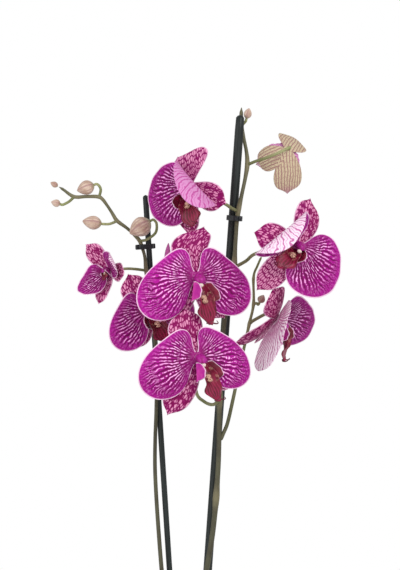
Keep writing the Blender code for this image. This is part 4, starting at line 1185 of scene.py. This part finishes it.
class ORCHID_OT_stakes(bpy.types.Operator):
    """Build the two stakes and the clips that hold the spikes to them"""

    bl_idname = "orchid.stakes"
    bl_label = "Stakes and clips"

    def execute(self, context):
        shades = hues()
        finish = plastic_material("stake", 0.42, shades.stake, shades.stake_light, (500, 500, 6))
        for name, (foot, top, radius) in STAKES.items():
            low = stake_point(name, STAKE_FOOT)
            share = np.concatenate([[0, 0.0004], np.linspace(0.001, 0.996, 60), [0.9985, 1]])
            path = (low + (np.array(top) - low) * share[:, None]) * MM
            build = Build()
            build.tube(path, np.full(len(path), radius * MM), 32)
            build.piece(f"{name}_rod", finish, (name,))
        clip = plastic_material("clip", 0.36, shades.clip, shades.clip_light, (300, 300, 300))
        for name in CLIPS:
            build = Build()
            clip_band(build, name)
            build.piece(f"{name}_band", clip, (name,))
        return {"FINISHED"}


CLIP_GAP, CLIP_BAND, CLIP_TAB = 0.8, 1.1, 2.4  # mm, round stake and stem, thick, and sticking out


def clip_band(build, name):
    """A clip: a band round two circles, stake and stem, with a short tab at each end. Its section
    is a rounded bar carried along the outline, which is an arc on each circle joined by straights."""
    stake, route, stem_radius, height = CLIPS[name]
    foot, top, radius = STAKES[stake]
    hub = stake_point(stake, height)
    path = smooth_route(route, 400)
    target = path[np.argmax(path[:, 2] >= height)]
    up = unit(np.array(top) - np.array(foot))
    across = target - hub
    across = across - up * across.dot(up)
    distance = np.linalg.norm(across)
    across = across / distance
    side = np.cross(up, across)
    middle = CLIP_GAP + CLIP_BAND / 2
    near, far = radius + middle, stem_radius + middle
    lean = math.acos((near - far) / distance)
    first = np.linspace(lean, 2 * math.pi - lean, 40)
    second = np.linspace(-lean, lean, 32)
    x = np.concatenate([near * np.cos(first), distance + far * np.cos(second)])
    y = np.concatenate([near * np.sin(first), far * np.sin(second)])
    line = hub + x[:, None] * across + y[:, None] * side
    tangent = unit(np.roll(line, -1, axis=0) - np.roll(line, 1, axis=0))
    out = np.cross(tangent, up)
    sides = 20
    around = round_angles(sides)
    box = np.sign(np.cos(around)) * np.abs(np.cos(around)) ** 0.35
    tall = np.sign(np.sin(around)) * np.abs(np.sin(around)) ** 0.35
    half = sizes().clip_height / MM / 2
    thick = out[:, None] * (CLIP_BAND / 2 * box)[None, :, None]
    ring = line[:, None] + thick + up * (half * tall)[None, :, None]
    faces = quads(len(line) + 1, sides, wrap=True) % (len(line) * sides)
    build.add(ring.reshape(-1, 3) * MM, [faces[:, ::-1]])
    for start, way in ((-near - 0.5, -1), (distance + far + 0.5, 1)):
        k = np.linspace(0, 1, 12)
        reach = start + way * CLIP_TAB * k
        tab = (hub + reach[:, None] * across) * MM
        fade = np.sqrt(np.clip(1 - np.clip((k - 0.6) / 0.4, 0, 1) ** 2.5, 0.01, 1))[:, None] * MM
        build.sweep(tab, np.tile(side * way, (12, 1)), np.tile(up, (12, 1)),
                    fade * 1.2 * box[None], fade * half * tall[None])


CROWN_TOP, CROWN_HEIGHT, ROOT_RADIUS = 162.3, 46.0, 2.4  # mm


class ORCHID_OT_foliage(bpy.types.Operator):
    """Build the crown, the leaves and the aerial roots"""

    bl_idname = "orchid.foliage"
    bl_label = "Leaves and roots"

    def execute(self, context):
        shades = hues()
        leaf = leaf_material(shades)
        for name, plan in LEAVES.items():
            build = Build()
            leaf_sheet(build, *plan)
            build.piece(f"{name}_blade", leaf, (name,))
        build = Build()
        k = np.linspace(0, 1, 26)
        body = (5.2 + 4.2 * k**0.8) * np.sqrt(np.clip(1 - (1 - k) ** 5, 0, 1))
        radius = np.concatenate([[0], body * (1 - 0.04 * np.cos(7 * k)), [0]])
        height = CROWN_TOP - CROWN_HEIGHT * np.concatenate([[0], k, [1]])
        build.turned(radius * MM, height * MM, 40, front=1.0, across=0.5, reach=0.2)
        build.piece("crown_stem", leaf, ("crown",))
        root = root_material(shades)
        for name, points in ROOTS.items():
            build = Build()
            route = [(x, y, z + BARK_LEVEL) for x, y, z in points]
            share = np.linspace(0, 1, 60)
            path = smooth_route(route, len(share)) * MM
            radii = ROOT_RADIUS * MM * (1.05 - 0.25 * share) * (1 + 0.03 * np.sin(31 * share))
            build.tube(path, radii, 16, tip=share[:, None])
            build.piece(f"{name}_strand", root, (name,))
        return {"FINISHED"}


def leaf_sheet(build, azimuth, foot, rise, droop, length_mm, half_width):
    """A strap that arches over: its width rises with a sine to its middle and rounds off at its
    tip, it is folded along its midrib, most at its foot, and its margins wave a little."""
    v = np.linspace(0, 1, 90)[:, None]
    u = np.linspace(-1, 1, 34)[None, :]
    length_m, half = length_mm * MM, half_width * MM
    width = half * (0.32 + 0.68 * np.sin(0.5 * math.pi * np.clip(v / 0.55, 0, 1)))
    width = width * np.sqrt(np.clip(1 - (np.clip(v - 0.55, 0, 1) / 0.45) ** 2.6, 0, 1)) + 2 * MM * v
    start, turn = math.radians(rise), math.radians(droop - rise)
    out, up = bent(v * length_m, length_m, start, turn)
    heading = start + turn * v
    fold = math.radians(14) + math.radians(22) * (1 - v) ** 3
    soft = np.sqrt(u**2 + 0.006) - 0.07
    across = u * width * np.cos(fold)
    wave = 1.4 * MM * np.abs(u) ** 2 * np.sin(7 * v + azimuth)
    lift = soft * width * np.sin(fold) + wave
    # The foot starts inside the crown
    distance = 5.5 * MM + 5.6 * MM * v + out - lift * np.sin(heading)
    height = (BARK_LEVEL + 0.3 + foot) * MM + up + lift * np.cos(heading)
    way = math.radians(azimuth)
    x = distance * math.cos(way) - across * math.sin(way)
    y = distance * math.sin(way) + across * math.cos(way)
    rim = (1 - np.abs(u)) * width
    thick = sizes().leaf_thickness * (0.45 + 0.55 * np.clip(rim / (9 * MM), 0, 1))
    build.sheet(np.stack([x, y, height], axis=-1), thick, across=u, reach=v)


FLOOR_OF_POT, LINER_GAP, LINER_TOP = 6.0, 1.5, 124.0  # mm
CHIP_TRIES, BED_RADIUS, BED_TOP, BED_BOTTOM = 230, 58.2, 114.4, 8.2
CHIP_RINGS, CHIP_SIDES = 7, 10


class ORCHID_OT_pot(bpy.types.Operator):
    """Build the glazed pot, its liner and the bark"""

    bl_idname = "orchid.pot"
    bl_label = "Pot and bark"

    def execute(self, context):
        shades, size = hues(), sizes()
        build = Build()
        build.turned(*pot_profile(size.pot_wall), 128)
        build.piece("pot_body", glaze_material(shades), ("pot",))
        build = Build()
        build.turned(*liner_profile(size.pot_wall, size.liner_wall), 96)
        finish = plastic_material("liner", 0.5, shades.liner, shades.bark_dark, (40, 40, 40))
        build.piece("liner_cup", finish, ("liner",))
        build = Build()
        bark_bed(build)
        rng = np.random.default_rng(11)
        for _ in range(CHIP_TRIES):
            bark_chip(build, rng)
        build.piece("bark_chips", bark_material(shades), ("bark",))
        return {"FINISHED"}


def pot_outside(height):
    """The pot's outer radius at a height, both in metres: it widens evenly."""
    top, foot = POT_TOP_RADIUS * MM, POT_FOOT_RADIUS * MM
    return foot + (top - foot) / (POT_HEIGHT * MM) * height


def pot_profile(wall):
    """Radii and heights from the middle of the pot's floor up its inside, over its rim, which is
    half a circle, down its outside and under its foot."""
    floor, foot = FLOOR_OF_POT * MM, POT_FOOT_RADIUS * MM
    arc = np.linspace(0, math.pi, 12)
    rim = POT_HEIGHT * MM - wall / 2
    rise = np.linspace(6.6 * MM, rim, 12)
    radius = np.concatenate([
        [0, pot_outside(floor) - wall - 1.2 * MM, pot_outside(floor) - wall - 0.3 * MM],
        pot_outside(rise) - wall, pot_outside(rim) - wall / 2 - wall / 2 * np.cos(arc),
        pot_outside(rise[::-1]), pot_outside(1.6 * MM) - np.array([0.0, 0.5, 1.6]) * MM,
        [foot - 9 * MM, foot - 10 * MM, 0],
    ])
    height = np.concatenate([
        [floor, floor, 6.15 * MM], rise, rim + wall / 2 * np.sin(arc), rise[::-1],
        np.array([1.6, 0.5, 0.0]) * MM, [0, 0, 0],
    ])
    return radius, height


def liner_profile(pot_wall, wall):
    """The same for the thin liner, which stands a gap inside the pot's wall."""

    def outside(height):
        return pot_outside(height) - pot_wall - LINER_GAP * MM

    low, top, rise = 6.3 * MM, LINER_TOP * MM, np.linspace(7.6 * MM, 123.4 * MM, 16)
    radius = np.concatenate([
        [0, outside(low) - wall - 0.5 * MM], outside(rise) - wall, [outside(top) - wall / 2],
        outside(rise[::-1]), [outside(low) - 0.4 * MM, 0],
    ])
    height = np.concatenate([[7.5 * MM, 7.5 * MM], rise, [top], rise[::-1], [low, low]])
    return radius, height


def bark_bed(build):
    """The bed under the chips: its top falls with the square of the distance from the middle."""
    rise = np.linspace(0, 1, 24)
    radius = np.concatenate([[0], BED_RADIUS * rise, [45.0, 0]])
    height = np.concatenate([[BED_TOP], BED_TOP - 3.4 * rise**2, [BED_BOTTOM, BED_BOTTOM]])
    build.turned(radius * MM, height * MM, 96, tone=0.15)


def bark_chip(build, rng):
    """A chip, unless it falls where the crown stands: a rounded block, whose sides are pushed about
    by sums of sines with random phases, turned at random and half sunk in the bed."""
    far = 56 * math.sqrt(rng.uniform(0.03, 1))
    turn = rng.uniform(0, 2 * math.pi)
    if far < 15:
        return
    angle = round_angles(CHIP_SIDES)
    around, share = np.meshgrid(angle, np.linspace(-1, 1, CHIP_RINGS))
    cap = np.sqrt(np.clip(1 - np.abs(share) ** 5, 0.04, 1))
    square = np.maximum(np.abs(np.cos(around)), np.abs(np.sin(around))) ** -0.75
    long, wide, thick = rng.uniform(4.0, 8.0), rng.uniform(2.6, 4.6), rng.uniform(1.2, 2.4)
    phase = rng.uniform(0, 6.28, 3)
    knob = 1 + 0.14 * np.sin(3 * around + phase[0]) + 0.12 * np.sin(2.5 * share + phase[1])
    x = share * long * (1 + 0.1 * np.sin(around + phase[2]))
    y = wide * cap * square * knob * np.cos(around)
    z = thick * cap * square * knob * np.sin(around)
    ends = np.array([[-long, 0, 0], [long, 0, 0]])
    points = np.concatenate([np.stack([x, y, z], axis=-1).reshape(-1, 3), ends])
    spin = turn_matrix(2, rng.uniform(0, 360)) @ turn_matrix(1, rng.uniform(-16, 16))
    spin = spin @ turn_matrix(0, rng.uniform(-25, 25))
    height = 113.2 - 3.2 * (far / 58) ** 2 + rng.uniform(0, 1.6)
    centre = np.array([far * math.cos(turn), far * math.sin(turn), height])
    # A chip that would reach the liner moves in
    centre[:2] *= (far - max(0.0, far + 0.8 * long - 58.0)) / far
    build.add((points @ spin[:3, :3].T + centre) * MM, closed_faces(CHIP_RINGS, CHIP_SIDES),
              tone=rng.uniform(0.1, 1))



FLOOR_RADIUS, FLOOR_SIDES = 1.2, 96
CAMERA_SIDE, CAMERA_HEIGHT, SENSOR = 0.009, 0.5025, 36  # metres, metres and millimetres
LIGHTS = (  # where each stands and its width in metres, and its power in watts
    ("key", (0.9, -1.5, 1.35), 0.9, 18.0),
    ("fill", (-1.3, -1.2, 0.7), 1.2, 10.0),
)
LIT_POINT = (0, 0, 0.5)


class ORCHID_OT_stage(bpy.types.Operator):
    """Build the floor, the lights, the pale surroundings and the camera"""

    bl_idname = "orchid.stage"
    bl_label = "Stage"

    def execute(self, context):
        scene, size = context.scene, sizes()
        angle = round_angles(FLOOR_SIDES)
        ring = FLOOR_RADIUS * np.stack([np.cos(angle), np.sin(angle), 0 * angle], axis=1)
        mesh = bpy.data.meshes.new("floor")
        mesh.from_pydata(ring.tolist(), [], [list(range(FLOOR_SIDES))])
        recipe = Recipe("floor", 0.9)
        cloud = recipe.noise(recipe.place(), 3.0)
        shade = recipe.mix(cloud * 0.3, hues().floor, [0.97 * part for part in hues().floor])
        mesh.materials.append(recipe.finish(shade))
        floor = bpy.data.objects.new("floor", mesh)
        scene.collection.objects.link(floor)
        world = bpy.data.worlds.new("pale_room")
        world.use_nodes = True
        room = Nodes(world.node_tree)
        background = room.tree.nodes["Background"]
        background.inputs["Color"].default_value = (1, 1, 1, 1)
        # The backdrop itself is white, and what it lights is lit more gently
        seen = room.node("ShaderNodeLightPath", {}, out="Is Camera Ray")
        strength = room.node("ShaderNodeMapRange", {}, seen, 0.0, 1.0, size.room_light, 1.0)
        room.tree.links.new(strength.socket, background.inputs["Strength"])
        scene.world = world
        for name, spot, width, power in LIGHTS:
            lamp = bpy.data.lights.new(name, "AREA")
            lamp.energy = power
            lamp.size = width
            holder = bpy.data.objects.new(name, lamp)
            holder.matrix_world = aimed(np.array(spot), np.array(LIT_POINT))
            scene.collection.objects.link(holder)
        lens = bpy.data.cameras.new("camera")
        lens.sensor_width = SENSOR
        lens.lens = SENSOR * size.camera_distance / size.frame_height
        camera = bpy.data.objects.new("camera", lens)
        eye = np.array([CAMERA_SIDE, -size.camera_distance, CAMERA_HEIGHT])
        camera.matrix_world = aimed(eye, eye + np.array([0, 1.0, 0]))
        scene.collection.objects.link(camera)
        scene.camera = camera
        scene.view_settings.view_transform = "Standard"
        return {"FINISHED"}


def aimed(eye, target):
    """A matrix at the eye whose -Z looks at the target with +Z of the room up."""
    back = unit(eye - target)
    right = unit(np.cross([0, 0, 1.0], back))
    up = np.cross(back, right)
    made = np.eye(4)
    made[:3, 0], made[:3, 1], made[:3, 2], made[:3, 3] = right, up, back, eye
    return Matrix(made.tolist())


PIECES = (
    ORCHID_OT_flowers, ORCHID_OT_spikes, ORCHID_OT_buds, ORCHID_OT_stakes, ORCHID_OT_foliage,
    ORCHID_OT_pot, ORCHID_OT_stage,
)


class ORCHID_PT_panel(bpy.types.Panel):
    """Lists the plant's parts in the sidebar"""

    bl_idname = "ORCHID_PT_panel"
    bl_label = "Potted orchid"
    bl_space_type = "VIEW_3D"
    bl_region_type = "UI"
    bl_category = "Orchid"

    def draw(self, context):
        for operator in PIECES:
            self.layout.operator(operator.bl_idname)
        for group in (context.scene.orchid_sizes, context.scene.orchid_hues):
            box = self.layout.box()
            for name in group.__annotations__:
                box.prop(group, name)


CLASSES = (ORCHID_PG_hues, ORCHID_PG_sizes, *PIECES, ORCHID_PT_panel)


def register():
    for cls in CLASSES:
        bpy.utils.register_class(cls)
    bpy.types.Scene.orchid_hues = bpy.props.PointerProperty(type=ORCHID_PG_hues)
    bpy.types.Scene.orchid_sizes = bpy.props.PointerProperty(type=ORCHID_PG_sizes)


def unregister():
    del bpy.types.Scene.orchid_hues
    del bpy.types.Scene.orchid_sizes
    for cls in reversed(CLASSES):
        bpy.utils.unregister_class(cls)


def main():
    register()
    for operator in PIECES:
        group, name = operator.bl_idname.split(".")
        getattr(getattr(bpy.ops, group), name)()
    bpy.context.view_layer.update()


if __name__ == "__main__":
    main()
